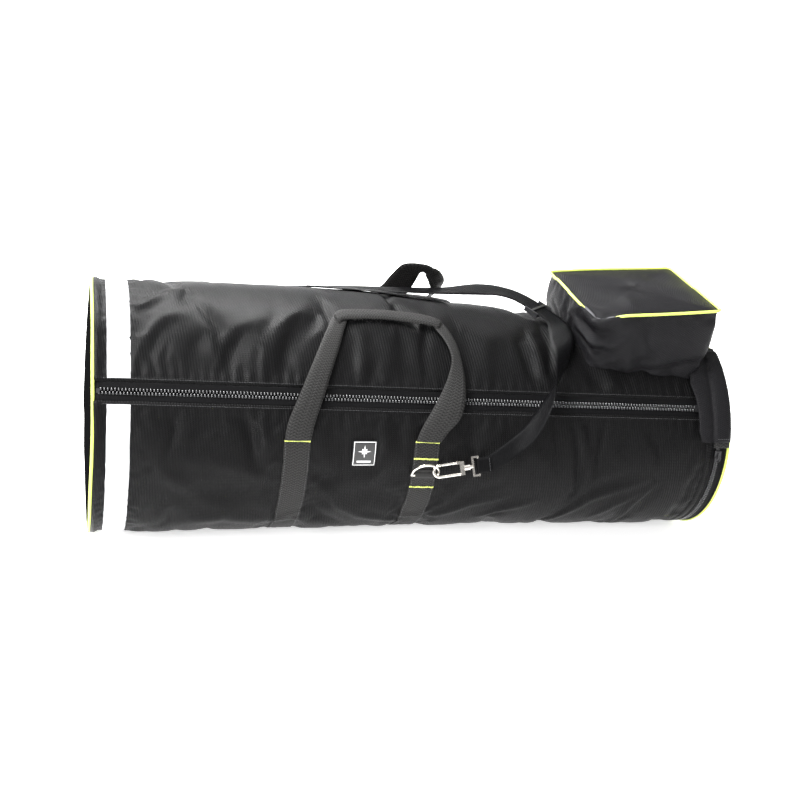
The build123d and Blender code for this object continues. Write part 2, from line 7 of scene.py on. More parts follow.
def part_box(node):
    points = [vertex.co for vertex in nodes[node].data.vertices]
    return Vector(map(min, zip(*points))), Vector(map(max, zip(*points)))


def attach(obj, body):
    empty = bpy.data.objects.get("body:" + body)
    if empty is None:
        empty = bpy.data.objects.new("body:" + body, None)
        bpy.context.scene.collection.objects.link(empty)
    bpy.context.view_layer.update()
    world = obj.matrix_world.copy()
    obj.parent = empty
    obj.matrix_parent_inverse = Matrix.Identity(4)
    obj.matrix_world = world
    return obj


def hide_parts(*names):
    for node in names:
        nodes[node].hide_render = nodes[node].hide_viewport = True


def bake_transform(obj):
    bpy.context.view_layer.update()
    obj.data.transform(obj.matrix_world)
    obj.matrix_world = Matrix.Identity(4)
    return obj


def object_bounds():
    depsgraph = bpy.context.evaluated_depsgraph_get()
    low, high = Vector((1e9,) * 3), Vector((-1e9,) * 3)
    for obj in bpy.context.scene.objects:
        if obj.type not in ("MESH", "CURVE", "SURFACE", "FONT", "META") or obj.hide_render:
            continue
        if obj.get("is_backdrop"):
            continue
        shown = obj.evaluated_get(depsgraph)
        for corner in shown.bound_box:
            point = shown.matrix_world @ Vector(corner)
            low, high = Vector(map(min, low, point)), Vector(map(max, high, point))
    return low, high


# Padded carry case for a telescope tube. Lengths here are millimetres in the frame of the
# case's own axis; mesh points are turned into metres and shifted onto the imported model.
# Angles round the body start at the front (-Y) and rise over the top (+Z).

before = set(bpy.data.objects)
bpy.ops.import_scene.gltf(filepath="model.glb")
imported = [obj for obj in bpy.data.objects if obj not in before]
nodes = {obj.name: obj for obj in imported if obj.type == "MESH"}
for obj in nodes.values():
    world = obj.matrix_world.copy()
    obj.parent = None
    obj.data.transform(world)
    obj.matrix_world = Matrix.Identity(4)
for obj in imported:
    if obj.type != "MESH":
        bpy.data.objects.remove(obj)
cad_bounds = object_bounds()

# Body
X_BASE, X_KNEE, X_MOUTH, X_LID = -513.0, -60.0, 480.0, 513.0
R_BASE, R_KNEE, R_MOUTH = 197.0, 190.0, 164.5
KNEE_SHIFT, REST_GAP = 8.0, 2.4
ZIP_ANGLES = (31.8, 37.0)
ZIP_HALF = 13.0
WALL = 12.5

# Where the model's own origin lies
low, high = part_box("base_piping")
SHIFT = np.array([low.x + 0.5139, (low.y + high.y) / 2, (low.z + high.z) / 2 - 0.1994])


def between(x, base, knee, mouth):
    return np.interp(x, [X_BASE, X_KNEE, X_MOUTH + 2], [base, knee, mouth])


def radius(x):
    return between(x, R_BASE, R_KNEE, R_MOUTH)


def centre_y(x):
    return between(x, 0.0, KNEE_SHIFT, 0.0)


def out_vector(angle):
    a = np.radians(angle)
    return np.stack([np.zeros_like(a), -np.cos(a), np.sin(a)], -1)


def on_skin(x, angle, height=0.0):
    """Points at a height over the nominal fabric."""
    x, angle, height = np.broadcast_arrays(np.asarray(x, float), np.asarray(angle, float),
                                           np.asarray(height, float))
    hub = np.stack([x, centre_y(x), radius(x) + REST_GAP], -1)
    return hub + out_vector(angle) * (radius(x) + height)[..., None]


def unit(v):
    return v / np.maximum(np.linalg.norm(v, axis=-1, keepdims=True), 1e-9)


def smooth(t):
    t = np.clip(t, 0, 1)
    return t * t * (3 - 2 * t)


# Meshes ------------------------------------------------------------------------------

def build(name, points, faces, uvs, material, shade=True):
    """Object from points in mm, faces, and one UV in metres for each face corner."""
    mesh = bpy.data.meshes.new(name)
    mesh.from_pydata((np.asarray(points) * 0.001 + SHIFT).tolist(), [], [list(f) for f in faces])
    layer = mesh.uv_layers.new(name="UVMap")
    layer.data.foreach_set("uv", np.asarray(uvs, np.float32).ravel())
    mesh.polygons.foreach_set("use_smooth", [shade] * len(mesh.polygons))
    mesh.materials.append(material)
    mesh.validate()
    mesh.update()
    obj = bpy.data.objects.new(name, mesh)
    bpy.context.scene.collection.objects.link(obj)
    return obj


def run_lengths(points, axis, closed):
    step = np.diff(points, axis=axis)
    lengths = np.linalg.norm(step, axis=-1).mean(axis=1 - axis)
    if closed:
        ends = np.take(points, 0, axis) - np.take(points, -1, axis)
        lengths = np.append(lengths, np.linalg.norm(ends, axis=-1).mean())
    return np.concatenate([[0.0], np.cumsum(lengths)]) * 0.001


def grid_data(points, close_i=False, close_j=False, caps=False, flip=False):
    n, m = points.shape[:2]
    rows, cols = (n if close_i else n - 1), (m if close_j else m - 1)
    i, j = np.meshgrid(np.arange(rows), np.arange(cols), indexing="ij")
    u, v = run_lengths(points, 0, close_i), run_lengths(points, 1, close_j)
    corner = [(0, 0), (1, 0), (1, 1), (0, 1)]
    if flip:
        corner = corner[::-1]
    quads = np.stack([((i + a) % n) * m + (j + b) % m for a, b in corner], -1).reshape(-1, 4)
    uvs = np.stack([np.stack([u[i + a], v[j + b]], -1) for a, b in corner], -2).reshape(-1, 2)
    faces = quads.tolist()
    uvs = uvs.tolist()
    if caps:
        first, last = list(range(m)), list(range((n - 1) * m, n * m))
        for loop, at in ((first if flip else first[::-1], 0.0), (last[::-1] if flip else last, u[-1])):
            loop = loop[::-1]
            faces.append(loop)
            uvs += [[at, v[k % m]] for k in loop]
    return points.reshape(-1, 3), faces, uvs


def faces_inward(points, faces):
    """True if a closed form's faces look into it."""
    volume = 0.0
    for f in faces:
        a = points[f[0]]
        for k in range(1, len(f) - 1):
            volume += np.dot(a, np.cross(points[f[k]], points[f[k + 1]]))
    return volume < 0


def grid(name, points, material, slot=None, outs=None, **how):
    """Sheet or closed form from an (n, m, 3) array; outs gives a sheet's outward side."""
    points = np.asarray(points, float)
    if outs is not None:
        steps = np.cross(points[1:, :-1] - points[:-1, :-1], points[:-1, 1:] - points[:-1, :-1])
        how["flip"] = bool((steps * np.asarray(outs)[:-1, :-1]).sum() < 0)
    p, faces, uvs = grid_data(points, **how)
    if outs is None and (how.get("caps") or (how.get("close_i") and how.get("close_j"))):
        if faces_inward(p - p.mean(0), faces):
            how["flip"] = not how.get("flip", False)
            p, faces, uvs = grid_data(points, **how)
    return build(name, p, faces, uvs, material)


def grid_normals(points):
    along = np.gradient(points, axis=0)
    across = np.gradient(points, axis=1)
    return unit(np.cross(along, across))


def slab(name, points, normals, low_h, high_h, material, slot=None, edge=0.45):
    """Strip with thickness: points and normals are (n, m, 3), with its long edges rounded."""
    m = points.shape[1]
    top = np.full(m, high_h, float)
    bottom = np.full(m, low_h, float)
    round_off = (high_h - low_h) * edge
    top[[0, -1]] -= round_off
    bottom[[0, -1]] += min(round_off, (high_h - low_h) * 0.45)
    upper = points + normals * top[None, :, None]
    lower = points + normals * bottom[None, :, None]
    loop = np.concatenate([upper, lower[:, ::-1]], axis=1)
    return grid(name, loop, material, slot, close_j=True, caps=True)


def tube(name, path, size, material, slot=None, closed=False, sides=12, squeeze=1.0):
    """Round cord along a path of points; size may vary along it."""
    path = np.asarray(path, float)
    size = np.broadcast_to(np.asarray(size, float), (len(path),))
    if closed:
        along = unit(np.roll(path, -1, 0) - np.roll(path, 1, 0))
    else:
        along = unit(np.gradient(path, axis=0))
    side = np.cross(along[0], [0.3, 0.2, 0.93])
    frames = []
    for direction in along:
        side = unit(side - direction * np.dot(side, direction))
        frames.append((side, np.cross(direction, side)))
    a = np.arange(sides) * 2 * pi / sides
    rings = [p + r * (np.cos(a)[:, None] * s + np.sin(a)[:, None] * t * squeeze)
             for p, r, (s, t) in zip(path, size, frames)]
    return grid(name, np.array(rings), material, slot, close_i=closed, close_j=True, caps=not closed)


def spline(points, count):
    """Smooth line through points, evenly spaced."""
    points = np.asarray(points, float)
    padded = np.concatenate([[2 * points[0] - points[1]], points, [2 * points[-1] - points[-2]]])
    fine = []
    for k in range(len(points) - 1):
        a, b, c, d = padded[k:k + 4]
        for t in np.linspace(0, 1, 24, endpoint=False):
            fine.append(0.5 * (2 * b + (c - a) * t + (2 * a - 5 * b + 4 * c - d) * t ** 2
                               + (3 * b - a - 3 * c + d) * t ** 3))
    fine.append(points[-1])
    fine = np.array(fine)
    run = np.concatenate([[0], np.cumsum(np.linalg.norm(np.diff(fine[:, :3], axis=0), axis=1))])
    want = np.linspace(0, run[-1], count)
    return np.stack([np.interp(want, run, fine[:, k]) for k in range(fine.shape[1])], -1)


def capsules(name, spots, along, out, length, width, height, material):
    """Many small rounded pieces, such as stitches or teeth, as one object."""
    spots, along, out = np.asarray(spots), unit(np.asarray(along)), np.asarray(out)
    side = unit(np.cross(out, along))
    out = np.cross(along, side)
    points, faces, uvs = [], [], []
    stations = ((-0.5, 0.45), (-0.38, 0.9), (0.38, 0.9), (0.5, 0.45))
    ring = [(-0.5, 0.0), (-0.38, 0.7), (0.0, 1.0), (0.38, 0.7), (0.5, 0.0)]
    size = len(stations) * len(ring)
    for k in range(len(spots)):
        base = k * size
        for s, scale in stations:
            for a, b in ring:
                points.append(spots[k] + along[k] * s * length + side[k] * a * width * scale
                              + out[k] * b * height * scale)
        for i in range(len(stations) - 1):
            for j in range(len(ring) - 1):
                a = base + i * len(ring) + j
                faces.append((a, a + len(ring), a + len(ring) + 1, a + 1))
        faces.append(tuple(base + j for j in range(len(ring))))
        faces.append(tuple(base + size - 1 - j for j in range(len(ring))))
        faces.append(tuple(base + i * len(ring) + j for i, j in
                           [(0, 0), (0, 4), (1, 4), (2, 4), (3, 4), (3, 0), (2, 0), (1, 0)]))
    points = np.array(points)
    uvs = [points[v][:2] * 0.001 for f in faces for v in f]
    return build(name, points, faces, uvs, material)


# Materials ---------------------------------------------------------------------------

def new_material(name, roughness, metallic=0.0, sheen=0.0, coat=0.0, specular=0.5):
    material = bpy.data.materials.new(name)
    material.use_nodes = True
    tree = material.node_tree
    shader = tree.nodes["Principled BSDF"]
    shader.inputs["Roughness"].default_value = roughness
    shader.inputs["Metallic"].default_value = metallic
    shader.inputs["Sheen Weight"].default_value = sheen
    shader.inputs["Sheen Roughness"].default_value = 0.45
    shader.inputs["Coat Weight"].default_value = coat
    shader.inputs["Specular IOR Level"].default_value = specular
    return material, tree, shader


def math_node(tree, kind, a, b=None, c=None):
    node = tree.nodes.new("ShaderNodeMath")
    node.operation = kind
    for socket, value in zip(node.inputs, (a, b, c)):
        if value is None:
            continue
        if isinstance(value, (int, float)):
            socket.default_value = value
        else:
            tree.links.new(value, socket)
    return node.outputs[0]


def wave(tree, value, pitch, phase=0.0):
    """0 to 1 and back over each pitch, in metres."""
    turned = math_node(tree, "MULTIPLY_ADD", value, 2 * pi / pitch, phase)
    return math_node(tree, "MULTIPLY_ADD", math_node(tree, "SINE", turned), 0.5, 0.5)


def noise(tree, scale, detail=3.0, rough=0.55):
    coordinates = tree.nodes.new("ShaderNodeTexCoord").outputs["Object"]
    node = tree.nodes.new("ShaderNodeTexNoise")
    node.inputs["Scale"].default_value = scale
    node.inputs["Detail"].default_value = detail
    node.inputs["Roughness"].default_value = rough
    tree.links.new(coordinates, node.inputs["Vector"])
    return node.outputs["Fac"]


def blend_colours(tree, factor, dark, light):
    ramp = tree.nodes.new("ShaderNodeValToRGB")
    ramp.color_ramp.elements[0].color = (*dark, 1)
    ramp.color_ramp.elements[1].color = (*light, 1)
    tree.links.new(factor, ramp.inputs["Fac"])
    return ramp.outputs["Color"]


def add_bump(tree, shader, height, distance, strength=1.0):
    node = tree.nodes.new("ShaderNodeBump")
    node.inputs["Distance"].default_value = distance
    node.inputs["Strength"].default_value = strength
    tree.links.new(height, node.inputs["Height"])
    tree.links.new(node.outputs["Normal"], shader.inputs["Normal"])


def uv_axes(tree):
    coordinates = tree.nodes.new("ShaderNodeTexCoord").outputs["UV"]
    split = tree.nodes.new("ShaderNodeSeparateXYZ")
    tree.links.new(coordinates, split.inputs[0])
    return split.outputs[0], split.outputs[1]


def woven(name, dark, light, pitch_u, pitch_v, slant=0.0, roughness=0.5, sheen=0.15, bump=0.0003,
          blotch=0.25, specular=0.5, zigzag=0.0):
    """Ribbed weave: ribs across u, crossed by threads along v."""
    material, tree, shader = new_material(name, roughness, sheen=sheen, specular=specular)
    u, v = uv_axes(tree)
    if zigzag:
        u = math_node(tree, "MULTIPLY_ADD", math_node(tree, "PINGPONG", v, zigzag), 0.8, u)
    leaned = math_node(tree, "MULTIPLY_ADD", v, slant, u)
    ribs = wave(tree, leaned, pitch_u)
    shifted = math_node(tree, "MULTIPLY_ADD", ribs, pitch_v * 0.5, v)
    threads = wave(tree, shifted, pitch_v)
    weave = math_node(tree, "MULTIPLY_ADD", threads, 0.45, math_node(tree, "MULTIPLY", ribs, 0.55))
    patch = noise(tree, 14.0)
    grain = noise(tree, 900.0, 2.0)
    mixed = math_node(tree, "MULTIPLY_ADD", patch, blotch, math_node(tree, "MULTIPLY", weave, 1 - blotch))
    mixed = math_node(tree, "MULTIPLY_ADD", grain, 0.2, math_node(tree, "MULTIPLY", mixed, 0.8))
    tree.links.new(blend_colours(tree, mixed, dark, light), shader.inputs["Base Color"])
    rough = math_node(tree, "MULTIPLY_ADD", patch, 0.16, roughness - 0.08)
    tree.links.new(rough, shader.inputs["Roughness"])
    add_bump(tree, shader, weave, bump)
    return material


def moulded(name, dark, light, roughness, grain_scale=700.0, bump=0.00008, metallic=0.0, coat=0.0):
    """Plastic, rubber or metal with a fine grain and slight wear."""
    material, tree, shader = new_material(name, roughness, metallic=metallic, coat=coat)
    grain = noise(tree, grain_scale, 4.0)
    patch = noise(tree, 60.0, 3.0)
    tree.links.new(blend_colours(tree, patch, dark, light), shader.inputs["Base Color"])
    rough = math_node(tree, "MULTIPLY_ADD", grain, 0.2, roughness - 0.1)
    tree.links.new(rough, shader.inputs["Roughness"])
    add_bump(tree, shader, grain, bump)
    return material


FABRIC = woven("black_rib_fabric", (0.0008, 0.0008, 0.0009), (0.0080, 0.0079, 0.0082), 0.0042, 0.0030,
               slant=0.12, roughness=0.36, sheen=0.0, bump=0.0008, blotch=0.08, specular=0.07)
END_FABRIC = woven("black_end_fabric", (0.0008, 0.0008, 0.0009), (0.0080, 0.0079, 0.0082), 0.0042, 0.0030,
                   slant=0.12, roughness=0.85, sheen=0.0, bump=0.0004, blotch=0.08, specular=0.0)
BOX_FABRIC = woven("black_box_fabric", (0.003, 0.0029, 0.0033), (0.014, 0.0136, 0.0152), 0.0032, 0.0028,
                   slant=0.5, roughness=0.42, sheen=0.0, bump=0.0006, blotch=0.10, specular=0.08)
WEBBING = woven("black_webbing", (0.001, 0.001, 0.001), (0.040, 0.0392, 0.0385), 0.0048, 0.0036,
                roughness=0.5, sheen=0.0, specular=0.10, bump=0.0007, zigzag=0.005, blotch=0.1)
STRAP_WEB = woven("strap_webbing", (0.0008, 0.0008, 0.001), (0.0055, 0.0055, 0.006), 0.0030, 0.0026,
                  roughness=0.42, sheen=0.0, specular=0.05, bump=0.0004, blotch=0.1)
TAPE = woven("zip_tape", (0.001, 0.001, 0.0012), (0.007, 0.007, 0.0075), 0.0016, 0.0022,
             roughness=0.5, sheen=0.0, bump=0.0002, specular=0.06)
LINING = woven("grey_lining", (0.05, 0.05, 0.055), (0.12, 0.12, 0.125), 0.0014, 0.0014,
               roughness=0.5, sheen=0.1, bump=0.00015)
LIME = woven("lime_piping", (0.50, 0.62, 0.07), (0.76, 0.86, 0.20), 0.0015, 0.0015, slant=0.6,
             roughness=0.45, sheen=0.05, bump=0.0002)
THREAD = woven("lime_thread", (0.55, 0.66, 0.08), (0.86, 0.92, 0.25), 0.0011, 0.0011, slant=1.0,
               roughness=0.4, bump=0.0002)
BLACK_THREAD = woven("black_thread", (0.012, 0.012, 0.013), (0.07, 0.07, 0.075), 0.0009, 0.0009,
                     slant=1.0, roughness=0.38, bump=0.0001)
REFLECT = woven("reflective_tape", (0.58, 0.58, 0.60), (0.70, 0.70, 0.715), 0.0024, 0.0024, slant=1.0,
                roughness=0.33, sheen=0.0, bump=0.00008, blotch=0.1)
FOAM = moulded("foam_padding", (0.06, 0.06, 0.065), (0.12, 0.12, 0.13), 0.85, 320.0, 0.0006)
BOARD = moulded("stiffener_board", (0.05, 0.05, 0.05), (0.10, 0.10, 0.10), 0.6)
NYLON = moulded("zip_teeth", (0.018, 0.018, 0.019), (0.07, 0.07, 0.073), 0.2, 500.0, 0.00003, coat=1.0)
METAL = moulded("black_metal", (0.02, 0.02, 0.022), (0.06, 0.06, 0.062), 0.3, 400.0, 0.00004, metallic=0.6)
NICKEL = moulded("nickel", (0.62, 0.58, 0.52), (0.86, 0.83, 0.78), 0.22, 260.0, 0.00004, metallic=1.0)
PLASTIC = moulded("black_plastic", (0.010, 0.010, 0.011), (0.028, 0.028, 0.03), 0.34, 600.0, 0.00006)
RUBBER = moulded("rubber_label", (0.012, 0.012, 0.012), (0.03, 0.03, 0.031), 0.5, 500.0, 0.0001)
PRINT = moulded("label_print", (0.80, 0.80, 0.80), (0.95, 0.95, 0.95), 0.45, 300.0, 0.00003)


# Zip line ----------------------------------------------------------------------------
zip_a = on_skin(X_BASE, ZIP_ANGLES[0], -1.0)
zip_b = on_skin(470.0, ZIP_ANGLES[1], -1.0)
zip_along = unit(zip_b - zip_a)
zip_out = out_vector(np.array(sum(ZIP_ANGLES) / 2))
zip_out = unit(zip_out - zip_along * np.dot(zip_out, zip_along))
zip_up = np.cross(zip_out, zip_along)


def on_zip(x, y, z):
    """Points in the zip's own frame: x along the case, y up the tape, z out of it."""
    x, y, z = np.broadcast_arrays(np.asarray(x, float), np.asarray(y, float), np.asarray(z, float))
    return zip_a + zip_along * ((x - X_BASE) / zip_along[0])[..., None] + zip_up * y[...,
                                                                                     None] + zip_out * z[..., None]


def polar(p):
    """Angle and radius of points about the body's axis."""
    y = p[..., 1] - centre_y(p[..., 0])
    z = p[..., 2] - radius(p[..., 0]) - REST_GAP
    return np.degrees(np.arctan2(z, -y)), np.hypot(y, z)


# Body skin ---------------------------------------------------------------------------
# Soft folds: height and width in mm, then points as (distance along, angle)
FOLDS = [
    (-3.2, 10, (-441, 70), (-422, 75), (-405, 79)),
    (2.4, 12, (-436, 76), (-404, 84), (-370, 92)),
    (-3.4, 11, (-432, 49), (-417, 57), (-397, 64)),
    (2.6, 12, (-436, 57), (-409, 66), (-376, 72)),
    (-4.2, 13, (-324, 40), (-313, 51), (-284, 61)),
    (3.0, 14, (-340, 50), (-308, 60), (-266, 68)),
    (-5.5, 16, (-240, 37), (-232, 52), (-208, 61), (-165, 71)),
    (3.4, 15, (-272, 38), (-260, 52), (-230, 66), (-186, 79)),
    (-2.8, 9, (-403, 24), (-397, 16), (-402, 9)),
    (-5.0, 11, (-302, 24), (-286, 14), (-276, 1)),
    (2.6, 10, (-276, 22), (-262, 12), (-258, 2)),
    (-3.4, 12, (-455, -23), (-436, -12), (-421, -5)),
    (4.6, 13, (-419, -2), (-392, -7), (-361, -17), (-306, -25)),
    (3.6, 14, (-410, 3), (-358, 3), (-300, -1), (-250, -8)),
    (-6.5, 19, (-399, -15), (-340, -16), (-268, -15)),
    (6.0, 17, (-370, -35), (-315, -30), (-242, -37)),
    (-3.2, 10, (-166, 24), (-161, 11), (-163, 0)),
    (-5.0, 12, (-189, -4), (-167, -9), (-135, -6)),
    (4.6, 11, (-180, -9), (-146, -21), (-100, -33), (-30, -43)),
    (-4.6, 12, (-190, -23), (-161, -34), (-120, -45)),
    (-6.0, 20, (-126, -16), (-80, -17), (-36, -27)),
    (-3.6, 11, (-146, 22), (-146, 9), (-147, -4)),
    (2.6, 10, (-84, 22), (-80, 8), (-90, -7)),
    (-4.0, 12, (-60, 22), (-55, 7), (-57, -8)),
    (3.6, 7, (22, -36), (76, -23), (136, -18)),
    (-3.2, 9, (30, -28), (80, -15), (120, -9)),
    (3.4, 7, (100, -36), (140, -28), (186, -21)),
    (3.8, 7, (226, -44), (282, -19), (372, -6)),
    (-3.0, 9, (240, -32), (290, -11), (345, -2)),
    (3.2, 7, (300, -38), (330, -24), (372, -13)),
    (2.6, 6, (356, -52), (360, -24), (388, -8)),
    (-2.4, 6, (198, 29), (203, 14), (200, 4)),
    (-3.0, 7, (228, 29), (241, 10), (252, -14)),
    (2.2, 6, (243, 29), (255, 10), (263, -10)),
    (-2.2, 6, (258, 29), (264, 12)),
    (-2.8, 7, (287, 30), (280, 11), (276, -7)),
    (3.0, 13, (58, -8), (90, 13), (130, 25)),
    (-3.4, 13, (24, 4), (52, 12), (70, 26)),
    (2.6, 14, (92, 66), (88, 50), (85, 40)),
    (-3.2, 14, (58, 62), (56, 48), (52, 40)),
    (-4.4, 11, (153, 66), (161, 51), (171, 42)),
    (3.6, 9, (176, 74), (180, 60), (188, 45)),
    (-4.6, 9, (198, 82), (200, 66), (197, 50)),
    (4.0, 8, (214, 86), (216, 70), (210, 52)),
    (-3.0, 12, (-131, 60), (-133, 49), (-133, 40)),
    (2.4, 10, (-112, 58), (-115, 40)),
    (-2.8, 9, (-92, 50), (-102, 38)),
    (-3.4, 14, (-43, 62), (-48, 50), (-50, 40)),
    (-2.6, 10, (-8, 66), (-13, 52), (-13, 39)),
    (-3.8, 12, (262, 52), (281, 46), (274, 38)),
    (3.2, 11, (290, 54), (302, 46), (298, 38)),
    (2.6, 16, (330, 56), (380, 50), (440, 52)),
    (3.4, 15, (-430, 128), (-330, 118), (-250, 126)),
    (-4.0, 17, (-400, 146), (-300, 140), (-210, 150)),
    (4.2, 16, (-150, 150), (-60, 142), (30, 152)),
    (-4.0, 14, (60, 128), (130, 140), (210, 136)),
    (-3.6, 12, (240, 148), (300, 160), (380, 156)),
    (4.0, 14, (-380, 176), (-280, 184), (-240, 196)),
    (-4.4, 16, (-120, 170), (-40, 182), (40, 178)),
    (4.0, 15, (60, 190), (160, 182), (260, 190)),
    (-4.0, 14, (-440, 205), (-360, 212), (-260, 206)),
    (3.8, 13, (280, 210), (340, 200), (420, 206)),
]


def fold_heights(x, angle):
    """Height over the nominal fabric from every fold, tapered at its ends."""
    total = np.zeros_like(x)
    reach = radius(x) * pi / 180
    for height, width, *line in FOLDS:
        line = np.array(line, float)
        best = np.full(x.shape, 1e9)
        share = np.zeros_like(x)
        count = len(line) - 1
        for k in range(count):
            ax = (x - line[k, 0])
            ay = ((angle - line[k, 1] + 180) % 360 - 180) * reach
            dx = line[k + 1, 0] - line[k, 0]
            dy = (line[k + 1, 1] - line[k, 1]) * reach
            t = np.clip((ax * dx + ay * dy) / (dx * dx + dy * dy), 0, 1)
            distance = np.hypot(ax - t * dx, ay - t * dy)
            nearer = distance < best
            best = np.where(nearer, distance, best)
            share = np.where(nearer, (k + t) / count, share)
        taper = 0.35 + 0.65 * np.sin(pi * np.clip(share, 0.02, 0.98))
        total += height * taper * np.exp(-(best / width) ** 2)
    return total


def ripple(x, angle):
    """Gentle unevenness of the padded wall."""
    s = radius(x) * np.radians(angle)
    h = 0.9 * np.sin(x / 61 + 1.3 * np.sin(s / 83)) * np.sin(s / 57 + 0.9)
    h += 0.6 * np.sin(x / 27 - s / 41 + 2.1 * np.sin(x / 90)) * np.sin(s / 33 + x / 160)
    h += 0.35 * np.sin(x / 13 + s / 19 + 1.7 * np.sin(s / 37)) * np.sin(x / 47 - s / 61)
    return h


near = np.array([0, 1.2, 2.4, 3.8, 5.6, 7.6, 10, 13, 17, 22])
hem = np.array([-1.5, -0.9, 0.4, 1.2, 1.0, 0.1, 0.0, 0.2, 0.1, 0])
xs = np.concatenate([[-511, -509.5, -507.5, -505, -502, -498, -494, -492.2, -490], np.arange(-485, 466, 5.2),
                     [468, 472, 476, 480]])
WEB_X = {"left": -215.0, "right": -12.0}


def web_mask(x, angle):
    """How much of a fold shows: sewn webbing and hardware hold the fabric flat."""
    keep = np.ones_like(x)
    front = np.exp(-((angle + 8) / 22) ** 4)
    rear = np.exp(-((angle - 190) / 24) ** 4)
    under = smooth((np.abs(((angle + 90 + 180) % 360) - 180) - 60) / -30)
    hold = np.clip(front + rear + under, 0, 1)
    for where in WEB_X.values():
        keep *= 1 - 0.85 * hold * np.exp(-((x - where) / 27) ** 4)
    keep *= 1 - 0.9 * np.exp(-((x + 111) / 24) ** 4) * np.exp(-((angle - 5) / 8) ** 4)
    return keep


def make_skin():
    rows, angles = [], []
    for x in xs:
        edge_low, edge_high = on_zip(x, -ZIP_HALF, 0), on_zip(x, ZIP_HALF, 0)
        (first, r_first), (last, r_last) = polar(edge_high), polar(edge_low)
        last += 360
        reach = radius(x)
        length = np.radians(last - first) * reach
        mid = np.linspace(near[-1], length - near[-1], 176)[1:-1]
        s = np.concatenate([near, mid, length - near[::-1]])
        angle = first + np.degrees(s / reach)
        edge = np.minimum(s, length - s)
        height = np.interp(edge, near, hem)
        seat = np.where(s < length / 2, r_first + 1 - reach, r_last + 1 - reach)
        height += seat * np.exp(-(edge / 40) ** 2)
        xx = np.full_like(angle, x)
        wrapped = (angle + 180) % 360 - 180
        free = smooth((edge - 3) / 22)
        ends = smooth((x + 508) / 30) * smooth((480 - x) / 34)
        folds = fold_heights(xx, angle) + ripple(xx, angle)
        height += folds * (0.25 + 0.75 * free) * ends * web_mask(xx, wrapped)
        pucker = np.sin(x * 2 * pi / 17.0 + 2.0 * np.sin(x / 29.0)) * (0.6 + 0.4 * np.sin(x / 53))
        height += 0.75 * pucker * np.exp(-((edge - 15) / 10) ** 2) * ends
        height += 2.6 * np.exp(-((x + 506) / 5.0) ** 2) + 0.5 * np.sin(wrapped / 9) * np.exp(-((x + 504) / 7) ** 2)
        height -= 1.8 * np.exp(-((x + 494) / 7.0) ** 2) * free
        floor_side = np.exp(-((wrapped + 90) / 26) ** 2)
        height = np.where(height > 1.2, height - (height - 1.2) * floor_side * 0.9, height)
        rows.append(on_skin(xx, angle, height))
        angles.append(angle)
    return np.array(rows), np.array(angles)


def settle(points, held, excess, pressure, frames, weight=0.0, stiffness=15.0, bending=0.6, close_j=False,
           caps=False):
    """Runs the sheet as cloth with some spare fabric, held where held is 1, and returns its new points."""
    scene = bpy.context.scene
    sheet = grid("settling", points, FABRIC, close_j=close_j, caps=caps)
    group = sheet.vertex_groups.new(name="held")
    levels = np.round(held.ravel() * 10).astype(int)
    for level in np.unique(levels):
        if level > 0:
            group.add(np.nonzero(levels == level)[0].tolist(), level / 10, "REPLACE")
    cloth = sheet.modifiers.new("cloth", "CLOTH")
    s = cloth.settings
    s.quality = 5
    s.mass = 0.05
    s.tension_stiffness = s.compression_stiffness = stiffness
    s.shear_stiffness = 3.0
    s.bending_stiffness = bending
    s.air_damping = 3.0
    s.vertex_group_mass = "held"
    s.pin_stiffness = 1.0
    s.shrink_min = -excess
    s.use_pressure = True
    s.uniform_pressure_force = pressure
    s.effector_weights.gravity = weight
    cloth.collision_settings.use_self_collision = False
    cloth.collision_settings.use_collision = False
    cloth.point_cache.frame_start = 1
    cloth.point_cache.frame_end = frames
    for number in range(1, frames + 1):
        scene.frame_set(number)
    done = sheet.evaluated_get(bpy.context.evaluated_depsgraph_get()).to_mesh()
    result = np.zeros(len(done.vertices) * 3)
    done.vertices.foreach_get("co", result)
    sheet.evaluated_get(bpy.context.evaluated_depsgraph_get()).to_mesh_clear()
    bpy.data.objects.remove(sheet)
    scene.frame_set(1)
    return (result.reshape(-1, 3)[:points.shape[0] * points.shape[1]].reshape(points.shape) - SHIFT) * 1000


def capped(before, after, normals, inward, outward):
    """The moved points, with the move along the normal softly limited."""
    move = after - before
    lift = (move * normals).sum(-1, keepdims=True)
    limit = np.where(lift > 0, outward, inward)
    soft = limit * np.tanh(lift / limit)
    slide = move - normals * lift
    size = np.linalg.norm(slide, axis=-1, keepdims=True)
    slide = slide * np.minimum(1, 4.0 / np.maximum(size, 1e-6))
    return before + normals * soft + slide


skin, skin_angles = make_skin()
skin_out = unit(skin - np.stack([skin[..., 0], centre_y(skin[..., 0]), radius(skin[..., 0]) + REST_GAP], -1))
x_grid = np.broadcast_to(xs[:, None], skin_angles.shape)
wrapped = (skin_angles + 180) % 360 - 180
reach_edge = np.minimum(skin_angles - skin_angles[:, :1], skin_angles[:, -1:] - skin_angles) * 3.2
held = 1 - smooth((reach_edge - 4) / 14)
held = np.maximum(held, 1 - smooth((x_grid + 508) / 20))
held = np.maximum(held, 1 - smooth((480 - x_grid) / 16))
held = np.maximum(held, 1 - web_mask(x_grid, wrapped))
held = np.maximum(held, 0.6 * np.exp(-((x_grid + 475) / 22) ** 4))
held = np.maximum(held, np.exp(-((wrapped + 90) / 22) ** 4))
held = np.where(held < 0.05, 0, held)
settled = settle(skin, held, 0.03, 1.5, 16)
skin = capped(skin, settled, skin_out, 1.6, 4.5)
skin_normals = -grid_normals(skin)
if (skin_normals * skin_out).sum() < 0:
    skin_normals = -skin_normals


